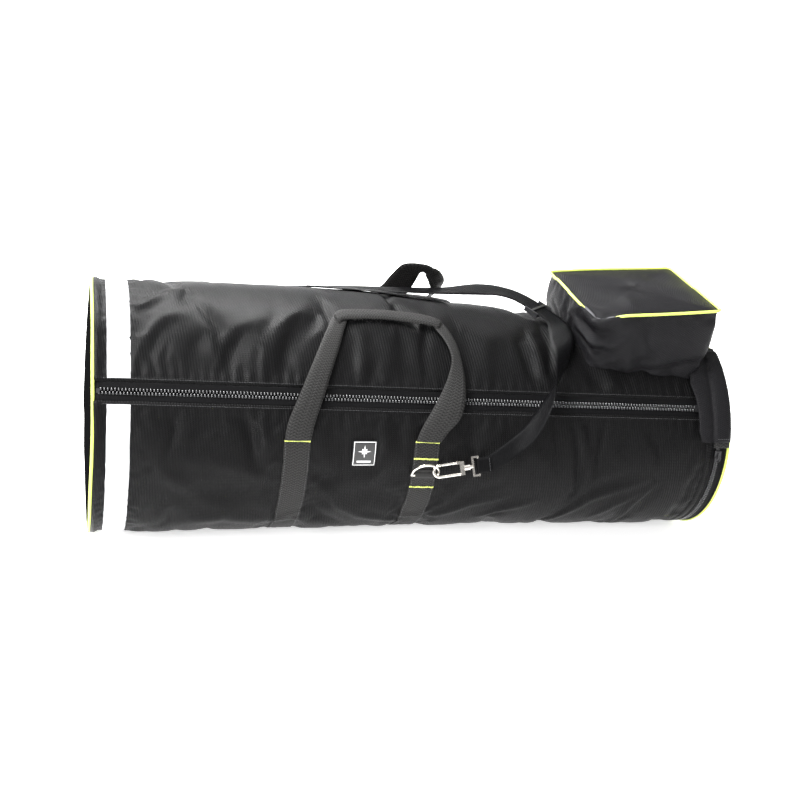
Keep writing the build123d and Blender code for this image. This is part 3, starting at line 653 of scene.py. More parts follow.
def skin_at(x, angle, height=0.0, with_normal=False):
    """Points over the finished fabric; across the zip they bridge its two edges."""
    x, angle, height = np.broadcast_arrays(np.asarray(x, float), np.asarray(angle, float),
                                           np.asarray(height, float))
    shape = x.shape
    points = np.zeros((x.size, 3))
    outs = np.zeros((x.size, 3))
    columns = np.arange(skin.shape[1])
    for k, (px, pa, ph) in enumerate(zip(x.ravel(), angle.ravel(), height.ravel())):
        i = int(np.clip(np.searchsorted(xs, px) - 1, 0, len(xs) - 2))
        f = (px - xs[i]) / (xs[i + 1] - xs[i])
        p, q = [], []
        for row in (i, i + 1):
            a = pa
            while a < skin_angles[row, 0]:
                a += 360
            while a >= skin_angles[row, 0] + 360:
                a -= 360
            if a > skin_angles[row, -1]:
                t = (a - skin_angles[row, -1]) / (skin_angles[row, 0] + 360 - skin_angles[row, -1])
                p.append(skin[row, -1] * (1 - t) + skin[row, 0] * t)
                q.append(skin_out[row, -1] * (1 - t) + skin_out[row, 0] * t)
            else:
                j = np.interp(a, skin_angles[row], columns)
                c = min(int(j), skin.shape[1] - 2)
                t = j - c
                p.append(skin[row, c] * (1 - t) + skin[row, c + 1] * t)
                q.append(skin_normals[row, c] * (1 - t) + skin_normals[row, c + 1] * t)
        n = unit(q[0] * (1 - f) + q[1] * f)
        points[k] = p[0] * (1 - f) + p[1] * f + n * ph
        outs[k] = n
    if with_normal:
        return points.reshape(shape + (3,)), outs.reshape(shape + (3,))
    return points.reshape(shape + (3,))


body_skin = grid("body_panel", skin, FABRIC, "black_fabric", outs=skin_out)
body_skin.modifiers.new("thickness", "SOLIDIFY").thickness = 0.0009
body_skin.modifiers.new("smooth", "SUBSURF").levels = 1
body_skin.modifiers["smooth"].render_levels = 1
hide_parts("body_panel_outer")
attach(body_skin, "bag")

# Padding under the skin, and the lining inside it
coarse_x = list(range(2, len(xs), 4)) + [len(xs) - 1]
coarse_a = list(range(1, skin.shape[1], 5))
under = (skin - skin_out * 6.0)[np.ix_(coarse_x, coarse_a)]
inner = on_skin(xs[coarse_x][:, None], skin_angles[np.ix_(coarse_x, coarse_a)], -11.4)
padding = grid("body_padding", np.concatenate([under, inner[:, ::-1]], axis=1), FOAM, "foam_padding",
               close_j=True, caps=True)
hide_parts("body_panel_foam")
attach(padding, "bag")

line_x = np.linspace(-500, 480, 66)
line_a = np.linspace(41.5, 385.5, 120)
gx, ga = np.meshgrid(line_x, line_a, indexing="ij")
sag = 1.1 * np.sin(gx / 31 + 1.6 * np.sin(ga / 21)) * np.sin(ga / 9) + 0.7 * np.sin(gx / 13 + ga / 7)
lining = grid("body_lining", on_skin(gx, ga, -13.0 - np.abs(sag)), LINING, "lining_fabric", outs=out_vector(ga))
lining.modifiers.new("thickness", "SOLIDIFY").thickness = 0.0008
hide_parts("body_panel_lining")
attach(lining, "bag")

# Reflective band ---------------------------------------------------------------------
band_x = np.linspace(-492, -459, 7)
edge_angles = polar(on_zip(-475, np.array([-14.0, 14.0]), 0))[0]
band_a = np.concatenate([np.linspace(edge_angles[1] + 1.4, edge_angles[0] + 358.6, 230)])
bx, ba = np.meshgrid(band_x, band_a, indexing="ij")
p, n = skin_at(bx, ba, 0.0, True)
band = slab("reflective_band_tape", np.swapaxes(p, 0, 1), np.swapaxes(n, 0, 1), -0.2, 0.75, REFLECT,
            "reflective_tape")
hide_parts("reflective_band")
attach(band, "bag")


def stitch_row(name, x, angle, height, pitch, length, width, material, body="bag", points=None, outs=None):
    """Stitches along a line over the fabric."""
    if points is None:
        points, outs = skin_at(x, angle, height, True)
    run = np.concatenate([[0], np.cumsum(np.linalg.norm(np.diff(points, axis=0), axis=1))])
    want = np.arange(pitch / 2, run[-1], pitch)
    spots = np.stack([np.interp(want, run, points[:, k]) for k in range(3)], -1)
    out = unit(np.stack([np.interp(want, run, outs[:, k]) for k in range(3)], -1))
    ahead = np.stack([np.interp(want + 0.5, run, points[:, k]) for k in range(3)], -1)
    behind = np.stack([np.interp(want - 0.5, run, points[:, k]) for k in range(3)], -1)
    rows = capsules(name, spots, ahead - behind, out, length, width, width * 0.6, material)
    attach(rows, body)
    return rows


for name, where in (("band_stitches_left", -490.3), ("band_stitches_right", -460.7)):
    stitch_row(name, np.full(160, where), np.linspace(edge_angles[1] + 3, edge_angles[0] + 357, 160), 0.75,
               4.2, 2.9, 0.6, PRINT)

# Main zip ----------------------------------------------------------------------------
zx = np.linspace(-508, 474, 200)
for name, side in (("upper", 1), ("lower", -1)):
    offsets = np.array([3.2, 4.6, 7.0, 9.5, 12.0, 14.5]) * side
    a, b = np.meshgrid(zx, offsets, indexing="ij")
    lift = 0.35 * np.sin(a / 23 + side) - 0.25 * np.abs(b) / 14
    strip = on_zip(a, b, lift)
    outs = np.broadcast_to(zip_out, strip.shape)
    if side > 0:
        strip, outs = strip[:, ::-1], outs[:, ::-1]
    tape = slab(f"zip_tape_{name}", strip, outs, -0.4, 0.4, TAPE, "zip_tape")
    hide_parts(f"main_zip_tape_{name}")
    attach(tape, "bag")
    tooth_x = np.arange(-502, 468, 5.0) + (1.25 if side > 0 else -1.25)
    spots = on_zip(tooth_x, 2.7 * side, 0.25)
    count = len(tooth_x)
    teeth = capsules(f"zip_teeth_{name}", spots, np.tile(zip_up, (count, 1)), np.tile(zip_out, (count, 1)),
                     4.4, 3.0, 1.7, NYLON)
    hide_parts(f"main_zip_teeth_{name}")
    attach(teeth, "bag")
    cord_line = on_zip(zx[2:-2], 4.9 * side, 0.75)
    cord = tube(f"zip_coil_cord_{name}", cord_line, 0.55, TAPE, "zip_tape", sides=6)
    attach(cord, "bag")
    seam = on_zip(zx[2:-2], (ZIP_HALF + 5.4) * side, 0.0)
    angle, _ = polar(seam)
    stitch_row(f"zip_seam_stitches_{name}", zx[2:-2], angle, 0.05, 3.6, 2.6, 0.55, BLACK_THREAD)

# Sewn webbing ------------------------------------------------------------------------
for name, where in WEB_X.items():
    wa = np.linspace(11.5, -191.5, 140)
    wx = where + np.linspace(-20, 20, 9)
    a, x = np.meshgrid(wa, wx, indexing="ij")
    p, n = skin_at(x, a, 0.0, True)
    web = slab(f"sewn_webbing_{name}", p[:, ::-1], n[:, ::-1], -0.3, 1.6, WEBBING, "black_webbing")
    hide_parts(f"webbing_strap_{name}")
    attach(web, "bag")
    for tag, off in (("a", -17.5), ("b", 17.5)):
        stitch_row(f"webbing_stitches_{name}_{tag}", np.full(150, where + off), np.linspace(10.5, -190.5, 150), 1.6,
                   4.0, 2.8, 0.6, BLACK_THREAD)


def tack(name, x, angle, width, height):
    """Dense bar of lime thread across a web."""
    along_x = np.linspace(x - width / 2, x + width / 2, 15)
    p, n = skin_at(along_x, np.full(15, angle), height, True)
    down = np.tile(skin_at(x, angle + 0.5) - skin_at(x, angle - 0.5), (15, 1))
    return capsules(name, p, down, n, 2.9, 2.7, 1.0, THREAD)


for name, angles in {"left": [11.2], "right": [11.2, 3.0, -12.5]}.items():
    for k, angle in enumerate(angles):
        for tag, at in (("front", angle), ("rear", 180 - angle)):
            bar = tack(f"bar_tack_{tag}_{name}_{k}", WEB_X[name], at, 37, 2.0 if k == 0 else 1.7)
            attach(bar, "bag")
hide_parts("bar_tack_stitches")

# Label -------------------------------------------------------------------------------
LABEL_X, LABEL_A = -111.0, 5.3


def label_spot(u, v, height):
    """Point on the label: u to the right, v up, in mm."""
    u, v, height = np.broadcast_arrays(np.asarray(u, float), np.asarray(v, float), np.asarray(height, float))
    angle = LABEL_A + np.degrees(v / radius(LABEL_X))
    return on_skin(LABEL_X + u, angle, 0.9 + height), out_vector(angle)


lu, lv = np.meshgrid(np.linspace(-19, 19, 13), np.linspace(-21, 21, 13), indexing="ij")
corner = np.clip(np.hypot(np.clip(np.abs(lu) - 16, 0, 9), np.clip(np.abs(lv) - 18, 0, 9)) / 3.0, 0, 1)
shrink = 1 - 0.05 * (corner > 0.99)
p, n = label_spot(lu * shrink, lv * shrink, 0.0)
patch = slab("label", p, n, -1.6, 0.6, RUBBER, "rubber_label")
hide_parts("label_patch")
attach(patch, "bag")
ring = np.array([(-1, -1), (1, -1), (1, 1), (-1, 1)], float)
outline = []
for k in range(4):
    a, b = ring[k], ring[(k + 1) % 4]
    for t in np.linspace(0, 1, 10, endpoint=False):
        outline.append(a * (1 - t) + b * t)
outline = np.array(outline)
p, n = label_spot(outline[:, 0] * 16.6, outline[:, 1] * 18.6, 0.7)
border = tube("label_border", p, 0.55, PRINT, "rubber_label", closed=True, sides=6)
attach(border, "bag")


def label_figure(name, shape, height=0.55):
    """Raised flat figure with sloping sides, drawn as its outline about a centre."""
    shape = np.asarray(shape, float)
    middle = shape.mean(0)
    rings = [(shape, height), (middle + (shape - middle) * 0.93, height + 0.45),
             (np.tile(middle, (len(shape), 1)), height + 0.5)]
    rows = np.array([label_spot(s[:, 0], s[:, 1], h)[0] for s, h in rings])
    figure = grid(name, rows, PRINT, "rubber_label", close_j=True,
                  outs=np.broadcast_to(out_vector(LABEL_A), rows.shape))
    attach(figure, "bag")


star = []
for k in range(16):
    a = k * pi / 8
    size = 10.5 if k % 4 == 0 else (6.0 if k % 2 == 0 else 3.4)
    star.append((size * sin(a), 3.5 + size * cos(a)))
label_figure("label_star", star)
label_figure("label_bar", [(-11, -14.5), (0, -14.5), (11, -14.5), (11, -13), (11, -11.5), (0, -11.5),
                           (-11, -11.5), (-11, -13)])
for name, us, vs in (("label_stitches_low", (-17.8, 17.8), (-19.8, -19.8)),
                     ("label_stitches_high", (-17.8, 17.8), (19.8, 19.8)),
                     ("label_stitches_left", (-17.8, -17.8), (-19.8, 19.8)), ("label_stitches_right",
                                                                              (17.8, 17.8), (-19.8, 19.8))):
    p, n = label_spot(np.linspace(*us, 20), np.linspace(*vs, 20), 0.6)
    stitch_row(name, None, None, 0, 3.0, 2.1, 0.5, BLACK_THREAD, points=p, outs=n)


# Base end ----------------------------------------------------------------------------
def round_end(name, x, outer, bulge, turn, material, slot, puckers=0.0, wrinkle=0.0, rings=26, sides=96,
              hub=None, thick=1.0):
    """Soft round panel about the body's axis, bulging towards +turn along X."""
    hub = hub if hub is not None else (0.0, outer + REST_GAP)
    share = np.linspace(0.02, 1, rings)
    a = np.arange(sides) * 2 * pi / sides
    r, t = np.meshgrid(share, a, indexing="ij")
    dome = bulge * (1 - r ** 2.6)
    dome = dome + puckers * np.sin(t * 31 + 2 * np.sin(5 * t)) * smooth((r - 0.82) / 0.14) * (1 - smooth((r - 0.97) / 0.03))
    dome = dome + wrinkle * np.sin(3 * t + 4 * r) * np.sin(5 * r + t) * (1 - r)
    front = np.stack([x + turn * dome, hub[0] - r * outer * np.cos(t), hub[1] + r * outer * np.sin(t)], -1)
    back = front[::-1] - np.array([turn * thick, 0, 0])
    shape = np.concatenate([front, back])
    return grid(name, shape, material, slot, close_j=True, caps=True, flip=turn < 0)


base_hub = (0.0, R_BASE + REST_GAP)
mouth_hub = (0.0, R_MOUTH + REST_GAP)
base_end = round_end("base_end_panel", -513.6, R_BASE - 0.4, 7.0, -1, END_FABRIC, "black_fabric", 0.7, 1.2,
                     hub=base_hub)
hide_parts("base_disc")
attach(base_end, "bag")
base_inner = round_end("base_inner_pad", -501.0, R_BASE - WALL - 2.0, 2.5, 1, LINING, "lining_fabric", 0.9, 0.8,
                       hub=base_hub, thick=9.0)
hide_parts("base_foam", "base_lining")
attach(base_inner, "bag")


def rim_cord(name, x, rim, cord, hub, wave_x, wave_r, first=0.0, last=360.0):
    closed = last - first >= 360
    t = np.radians(np.linspace(first, last, 220, endpoint=not closed))
    dx = wave_x * (np.sin(3 * t + 0.6) + 0.5 * np.sin(7 * t))
    dr = wave_r * (np.sin(4 * t + 1.0) + 0.4 * np.sin(11 * t)) - abs(wave_r)
    path = np.stack([x + dx, hub[0] - (rim + dr) * np.cos(t), hub[1] + (rim + dr) * np.sin(t)], -1)
    return tube(name, path, cord, LIME, "lime_piping", closed=closed, sides=12)


base_cord = rim_cord("base_piping_cord", -512.0, R_BASE, 2.5, base_hub, 0.7, 0.3)
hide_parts("base_piping")
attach(base_cord, "bag")

# Lid ---------------------------------------------------------------------------------
lid_panel = round_end("lid_end_panel", 512.4, R_MOUTH - 0.4, 5.0, 1, END_FABRIC, "black_fabric", 0.6, 1.0,
                      hub=mouth_hub)
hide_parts("lid_disc")
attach(lid_panel, "lid")
lid_inner = round_end("lid_inner_pad", 499.5, 156.0, 1.6, -1, LINING, "lining_fabric", 0.7, 0.6, hub=mouth_hub,
                      thick=8.5)
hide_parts("lid_foam", "lid_lining")
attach(lid_inner, "lid")
lid_cord = rim_cord("lid_piping_cord", X_LID - 1.5, R_MOUTH, 2.5, mouth_hub, 0.5, 0.25)
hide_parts("lid_piping")
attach(lid_cord, "lid")


def mouth_strip(name, x_values, heights, first, last, count, low_h, high_h, material, slot, ripples=0.0):
    """Strip round the mouth with a profile given across its width."""
    a = np.linspace(first, last, count)
    grid_a, grid_x = np.meshgrid(a, np.asarray(x_values, float), indexing="ij")
    heights = np.broadcast_to(np.asarray(heights, float), grid_x.shape)
    heights = heights + ripples * np.sin(grid_a / 2.3 + np.sin(grid_a / 7))
    out = out_vector(grid_a)
    p = np.stack([grid_x, np.full_like(grid_x, mouth_hub[0]), np.full_like(grid_x, mouth_hub[1])],
                 -1) + out * (R_MOUTH + heights)[..., None]
    return slab(name, p, out, low_h, high_h, material, slot)


rim_band = mouth_strip("lid_edge_band", [505.5, 507, 509, 511], [-0.9, -0.1, 0.2, 0.0], 0, 360, 180, -1.0, 0.5,
                       FABRIC, "black_fabric", 0.12)
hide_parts("lid_rim_band")
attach(rim_band, "lid")
mouth_facing = mouth_strip("mouth_facing", [472, 477, 481, 482.5, 481.5], [0.5, 0.9, 0.9, 0.3, -0.9], -155, 155,
                           160, -0.5, 0.4,
                           FABRIC, "black_fabric", 0.15)
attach(mouth_facing, "bag")
wall_a = np.linspace(0, 360, 121)[:-1]
wall_rows = []
for x_at, drop in ((480.3, -1.6), (482.0, -3.0), (482.4, -7.0), (481.6, -11.5), (478.0, -14.0), (470.0, -14.6)):
    wall_rows.append(np.stack([np.full(120, x_at), mouth_hub[0] - (R_MOUTH + drop) * np.cos(np.radians(wall_a)),
                               mouth_hub[1] + (R_MOUTH + drop) * np.sin(np.radians(wall_a))], -1))
mouth_binding = grid("mouth_binding", np.array(wall_rows), LINING, "lining_fabric",
                     outs=np.broadcast_to([1.0, 0, 0], (6, 120, 3)), close_j=True)
mouth_binding.modifiers.new("thickness", "SOLIDIFY").thickness = 0.0008
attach(mouth_binding, "bag")

for tag, body, xa, xb, tooth_x in (("body", "bag", 480.5, 490.8, 491.9), ("lid", "lid", 497.0, 506.4, 496.0)):
    tape = mouth_strip(f"lid_zip_tape_{tag}_strip", np.linspace(xa, xb, 5), -1.0, -154.8, 154.8, 200, -0.45, 0.45,
                       TAPE, "zip_tape", 0.08)
    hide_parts(f"lid_zip_tape_{tag}")
    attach(tape, body)
    step = degrees(4.2 / R_MOUTH)
    a = np.arange(-153.5, 153.5, step) + (step / 4 if tag == "lid" else -step / 4)
    out = out_vector(a)
    spots = np.array([tooth_x, *mouth_hub]) + out * (R_MOUTH - 0.7)
    teeth = capsules(f"lid_zip_teeth_{tag}_row", spots, np.tile([1.0, 0, 0], (len(a), 1)), out, 3.6, 2.5, 1.5,
                     NYLON)
    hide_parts(f"lid_zip_teeth_{tag}")
    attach(teeth, body)
# Fabric hinge at the rear, one sheet from the body's mouth to the lid
hinge_x = np.linspace(480.5, 506, 14)
hinge = mouth_strip("lid_hinge", hinge_x, 0.35 * np.sin(np.linspace(0, pi, 14)) - 0.6, 155.4, 204.6, 40, -0.7, 0.5,
                    FABRIC, "black_fabric", 0.1)
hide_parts("lid_hinge_panel", "lid_hinge_flap")
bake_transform(hinge)

# Grip --------------------------------------------------------------------------------
def grip_section(angle):
    """Outline of the padded wrap at an angle, as (x, height) pairs, scaled by its share of full size."""
    t = (angle - 18.5) / 53.0
    size = np.clip(np.sin(pi * np.clip(t, 0.0, 1.0)) * 9, 0, 1) ** 0.5
    reach = np.interp(angle, [18, 24, 36, 44, 50, 56, 62, 68, 72], [458, 452, 450, 447, 442, 446, 455, 466, 474])
    thick = 0.35 + 0.65 * size
    crease = np.interp(angle, [18, 40, 72], [476, 474, 480])
    top, bottom = 21.5, 8.2
    mid = (top + bottom) / 2
    half = (top - bottom) / 2 * thick
    right = 507.5
    return [
        (reach, mid - 3.0), (reach - 1.2, mid - 1.0), (reach + 0.5, mid + 1.4), ((reach + crease) / 2,
                                                                                 mid + 3.0 + 0.8 * size),
        (crease - 4, mid + 2.2), (crease, mid + 0.8), (crease + 3, mid + half * 0.75), (crease + 9,
                                                                                        mid + half * 1.0),
        ((crease + right) / 2 + 3, mid + half * 1.08), (right - 6, mid + half * 0.9), (right - 1.0,
                                                                                       mid + half * 0.4),
        (right, mid - half * 0.1), (right - 2, mid - half * 0.65), (right - 9, mid - half * 0.95), (crease + 10,
                                                                                                    mid - half * 0.9),
        (crease, mid - half * 0.55), ((reach + crease) / 2, mid - 4.4),
    ]


grip_angles = np.concatenate([[18.5, 18.9, 19.6], np.linspace(21, 69, 34), [70.4, 71.1, 71.5]])
grip_rows = []
for angle in grip_angles:
    out = out_vector(np.array(angle))
    row = []
    for k, (x, h) in enumerate(grip_section(angle)):
        h = h + 0.5 * sin(angle * 0.9 + k) * (0.4 if k > 6 else 1.0)
        row.append(np.array([x, *mouth_hub]) + out * (R_MOUTH + h))
    grip_rows.append(row)
pad = grid("grip_wrap", np.array(grip_rows), BOX_FABRIC, "black_fabric", close_j=True, caps=True)
pad.modifiers.new("smooth", "SUBSURF").levels = 2
pad.modifiers["smooth"].render_levels = 2
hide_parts("grip_pad")
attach(pad, "grip")
web_a = np.concatenate([np.full(4, 15.8), np.linspace(15.8, 74.2, 50), np.full(4, 74.2)])
web_h = np.concatenate([np.linspace(0.6, 11, 4), np.full(50, 14.2), np.linspace(11, 0.6, 4)])
wx = np.linspace(478, 505.5, 7)
a, x = np.meshgrid(web_a, wx, indexing="ij")
p = np.array([0, *mouth_hub]) * np.ones(a.shape + (1,)) + out_vector(a) * (R_MOUTH + web_h[:, None])[..., None]
p[..., 0] = np.where(web_h[:, None] < 12, 499 + (x - 478) * 0.24, x)
along = np.gradient(p, axis=0)
across = np.gradient(p, axis=1)
web_n = unit(np.cross(across, along))
if (web_n * out_vector(a)).sum() < 0:
    web_n = -web_n
grip_web = slab("grip_web", p[:, ::-1], web_n[:, ::-1], -1.2, 1.2, WEBBING, "black_webbing")
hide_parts("grip_webbing")
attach(grip_web, "grip")
for name, at in (("grip_stitches_low", 20.6), ("grip_stitches_high", 69.6)):
    xs_row = np.linspace(480, 504, 14)
    base = np.stack([xs_row, np.full(14, mouth_hub[0]), np.full(14, mouth_hub[1])],
                    -1) + out_vector(np.array(at)) * (R_MOUTH + 21.6)
    stitch_row(name, None, None, 0, 3.4, 2.5, 0.6, BLACK_THREAD, body="grip",
               points=base, outs=np.tile(out_vector(np.array(at)), (14, 1)))

# Box ---------------------------------------------------------------------------------
BOX_TOP, BOX_FOOT = (220.0, 200.0), (196.0, 182.0)
BOX_C, BOX_Z, BOX_TILT, BOX_FOOT_Z = (360.0, -4.0), 421.0, radians(-4.0), 250.0


def rounded_rectangle(width, depth, corner, per_corner=7):
    """Outline from the middle of the front side, counter-clockwise seen from above."""
    hw, hd = width / 2 - corner, depth / 2 - corner
    path = []
    spans = [((hw, -hd), -90), ((hw, hd), 0), ((-hw, hd), 90), ((-hw, -hd), 180)]
    for (cx, cy), start in spans:
        for k in range(per_corner):
            a = radians(start + 90 * k / (per_corner - 1))
            path.append((cx + corner * cos(a), cy + corner * sin(a)))
    path = np.array(path)
    closed = np.concatenate([path, path[:1]])
    seg = np.linalg.norm(np.diff(closed, axis=0), axis=1)
    fine = []
    for k in range(len(path)):
        count = max(1, int(round(seg[k] / 6.5)))
        for t in np.arange(count) / count:
            fine.append(closed[k] * (1 - t) + closed[k + 1] * t)
    return np.array(fine)


def box_top_point(u, v, w):
    """Point in the lid's own plane: u along the case, v to the rear, w up."""
    c, s = cos(BOX_TILT), sin(BOX_TILT)
    u, v, w = np.broadcast_arrays(np.asarray(u, float), np.asarray(v, float), np.asarray(w, float))
    return np.stack([BOX_C[0] + u * c + w * s, BOX_C[1] + v, BOX_Z - u * s + w * c], -1)


rim_uv = rounded_rectangle(*BOX_TOP, 9.0)
foot_uv = rim_uv * np.array([BOX_FOOT[0] / BOX_TOP[0], BOX_FOOT[1] / BOX_TOP[1]])
DENT = np.array([-BOX_TOP[0] / 2, -BOX_TOP[1] / 2])


def dent(uv, size):
    return np.exp(-(np.hypot(uv[..., 0] - DENT[0], uv[..., 1] - DENT[1]) / size) ** 2)


def rim_points(uv):
    """Edge of the box's lid, with its slack front corner pushed in and down."""
    d = dent(uv, 34.0)
    u = uv[..., 0] + d * 15.0
    v = uv[..., 1] + d * 13.0
    bow = 3.0 * np.sin(pi * (uv[..., 0] / BOX_TOP[0] + 0.5)) * (uv[..., 1] < 0) + 2.0 * np.sin(uv[...,
                                                                                                  0] / 60) * (uv[..., 1] > 0)
    droop = -d * 13.0 - bow * 0.6
    back_low = np.exp(-((uv[..., 0] + 110) / 60) ** 2) * (uv[..., 1] > 60) * -2.0
    return box_top_point(u, v, droop + back_low)


rim = rim_points(rim_uv)
foot = np.stack([BOX_C[0] + foot_uv[:, 0], BOX_C[1] + 3 + foot_uv[:, 1], np.full(len(foot_uv), BOX_FOOT_Z)], -1)
side_out = unit(np.concatenate([rim_uv / np.array(BOX_TOP) * 2, np.zeros((len(rim_uv), 1))], 1) ** 3)
count = len(rim)
wall_rows = []
ends = []
for k in range(count):
    low_t, high_t = 0.0, 1.0
    for _ in range(24):
        mid_t = (low_t + high_t) / 2
        p = rim[k] * (1 - mid_t) + foot[k] * mid_t
        _, r = polar(p)
        if r < radius(p[0]) - 2.0:
            high_t = mid_t
        else:
            low_t = mid_t
    ends.append(high_t)
ends = np.array(ends)
rows = 22
share = np.linspace(0, 1, rows)
T, K = np.meshgrid(share, np.arange(count), indexing="ij")
span = ends[None, :] * T
walls = rim[None] * (1 - span[..., None]) + foot[None] * span[..., None]
uvk = rim_uv[K]
side_k = side_out[K]
front = (uvk[..., 1] < -85).astype(float)
bulge = 4.5 * np.sin(pi * T) * (1 - np.abs(uvk).max(-1) / 400)
creases = 2.2 * np.sin(uvk[..., 0] / 17 + 5 * T) * np.sin(pi * T) ** 2 * smooth((T - 0.35) / 0.5)
creases += 1.6 * np.sin(uvk[..., 0] / 9 - 3 * T + 1) * smooth((T - 0.6) / 0.3) * (1 - smooth((T - 0.93) / 0.07))
corner_d = dent(uvk, 46.0)
folded = 9.0 * corner_d * np.exp(-((T - 0.10) / 0.10) ** 2) - 6.0 * corner_d * np.exp(-((T - 0.30) / 0.09) ** 2)
folded += 6.5 * corner_d * np.exp(-((T - 0.48) / 0.09) ** 2) - 6.0 * corner_d * np.exp(-((T - 0.64) / 0.07) ** 2)
folded += 3.5 * np.exp(-((uvk[..., 0] + 70) / 24) ** 2) * front * np.exp(-((T - 0.55 + (uvk[...,
                                                                                            0] + 70) / 160) / 0.08) ** 2)
folded -= 4.0 * np.exp(-((uvk[..., 0] - 30) / 60) ** 2) * front * np.exp(-((T - 0.86 + (uvk[...,
                                                                                            0] - 30) / 500) / 0.07) ** 2)
walls = walls + side_k * (bulge + creases + folded)[..., None]
walls[..., 2] += 7.0 * corner_d * np.exp(-((T - 0.07) / 0.08) ** 2)
held = np.where((T < 0.03) | (T > 0.97), 1.0, 0.0)
held = np.maximum(held, 0.3 * corner_d)
normals = side_k * np.ones(walls.shape)
settled = settle(walls, held, 0.03, 1.5, 18, close_j=True)
walls = capped(walls, settled, normals, 4.0, 5.0)
box_walls = grid("box_wall_panels", walls, BOX_FABRIC, "black_fabric", outs=side_k, close_j=True)
box_walls.modifiers.new("thickness", "SOLIDIFY").thickness = 0.001
box_walls.modifiers.new("smooth", "SUBSURF").levels = 1
box_walls.modifiers["smooth"].render_levels = 1
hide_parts("box_walls")
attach(box_walls, "bag")

lid_rows = []
for share_r in np.concatenate([np.linspace(1, 0.9, 4), np.linspace(0.86, 0.03, 16)]):
    uv = rim_uv * share_r
    d = dent(uv, 40.0)
    p = rim_points(rim_uv) * share_r + box_top_point(0, 0, 0) * (1 - share_r)
    crown = 5.0 * (1 - share_r ** 2)
    flat = box_top_point(uv[:, 0] + 15 * dent(uv, 34), uv[:, 1] + 13 * dent(uv, 34), crown)
    lift = -7.0 * d - 3.5 * np.exp(-(np.hypot(uv[:, 0] + 60, uv[:, 1] + 45) / 26) ** 2)
    lift += 2.6 * np.exp(-(np.hypot((uv[:, 0] + 30) / 1.0, (uv[:, 1] + 52) / 2.2) / 13) ** 2)
    lift += 1.2 * np.sin(uv[:, 0] / 23 + uv[:, 1] / 31) * np.sin(uv[:, 1] / 27) * (1 - share_r ** 3)
    inside = smooth((1 - share_r) / 0.14)
    q = p * (1 - inside) + flat * inside
    q[:, 2] += lift * inside
    lid_rows.append(q)
lid_top = np.array(lid_rows)
lid_ring = list(lid_top) + [lid_top[-1] * 0.0 + lid_top[-1].mean(0)]
box_lid = grid("box_lid_top", np.array(lid_ring), BOX_FABRIC, "black_fabric",
               outs=np.broadcast_to([0, 0, 1.0], np.array(lid_ring).shape),
               close_j=True)
box_lid.modifiers.new("thickness", "SOLIDIFY").thickness = 0.001
box_lid.modifiers.new("smooth", "SUBSURF").levels = 1
box_lid.modifiers["smooth"].render_levels = 1
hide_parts("box_lid_panel")
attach(box_lid, "bag")

d = dent(rim_uv, 30.0)
cord_path = rim + side_out * (2.0 - 15.0 * d)[:, None]
cord_path[:, 2] += 0.8 - 15.0 * d
box_cord = tube("box_piping_cord", cord_path, 2.3, LIME, "lime_piping", closed=True)
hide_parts("box_piping")
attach(box_cord, "bag")

foam_rows = walls[1:-1:3] - side_k[1:-1:3] * 4.0
inner_rows = walls[1:-1:3] - side_k[1:-1:3] * 9.0
box_pad = grid("box_wall_padding", np.concatenate([foam_rows, inner_rows[::-1]]), FOAM, "foam_padding",
               close_i=True, close_j=True)
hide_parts("box_foam")
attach(box_pad, "bag")
top_pad = grid("box_lid_padding", np.concatenate([(lid_top - [0, 0, 4.0])[4::4],
                                                  (lid_top - [0, 0, 9.0])[4::4][::-1]]), FOAM,
               "foam_padding", close_j=True, caps=True)
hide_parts("box_lid_foam")
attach(top_pad, "bag")
box_lining = grid("box_inner_lining", walls[2:-1:3] - side_k[2:-1:3] * 10.0, LINING, "lining_fabric",
                  outs=side_k[2:-1:3], close_j=True)
box_lining.modifiers.new("thickness", "SOLIDIFY").thickness = 0.0008
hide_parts("box_lining")
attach(box_lining, "bag")


# Handles -----------------------------------------------------------------------------
def ribbon(name, edges_a, edges_b, count, thickness, material, slot, body, face=None, width_steps=7, cup=0.0):
    """Web between two edge lines, with rounded edges; face is the side that looks outward."""
    a, b = spline(edges_a, count), spline(edges_b, count)
    t = np.linspace(0, 1, width_steps)
    p = a[:, None] * (1 - t[None, :, None]) + b[:, None] * t[None, :, None]
    along = np.gradient(p, axis=0)
    across = np.gradient(p, axis=1)
    n = unit(np.cross(across, along))
    n[1:-1] = unit(n[:-2] + 2 * n[1:-1] + n[2:])
    if face is not None:
        hub = np.array(face)
        if (n.mean((0, 1)) * hub).sum() < 0:
            n = -n
            p, n = p[:, ::-1], n[:, ::-1]
    p = p + n * (cup * np.sin(pi * t))[None, :, None]
    web = slab(name, p, n, -thickness / 2, thickness / 2, material, slot)
    if body:
        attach(web, body)
    return web


def skin_line(points):
    points = np.array(points, float)
    return on_skin(points[:, 0], points[:, 1], points[:, 2])


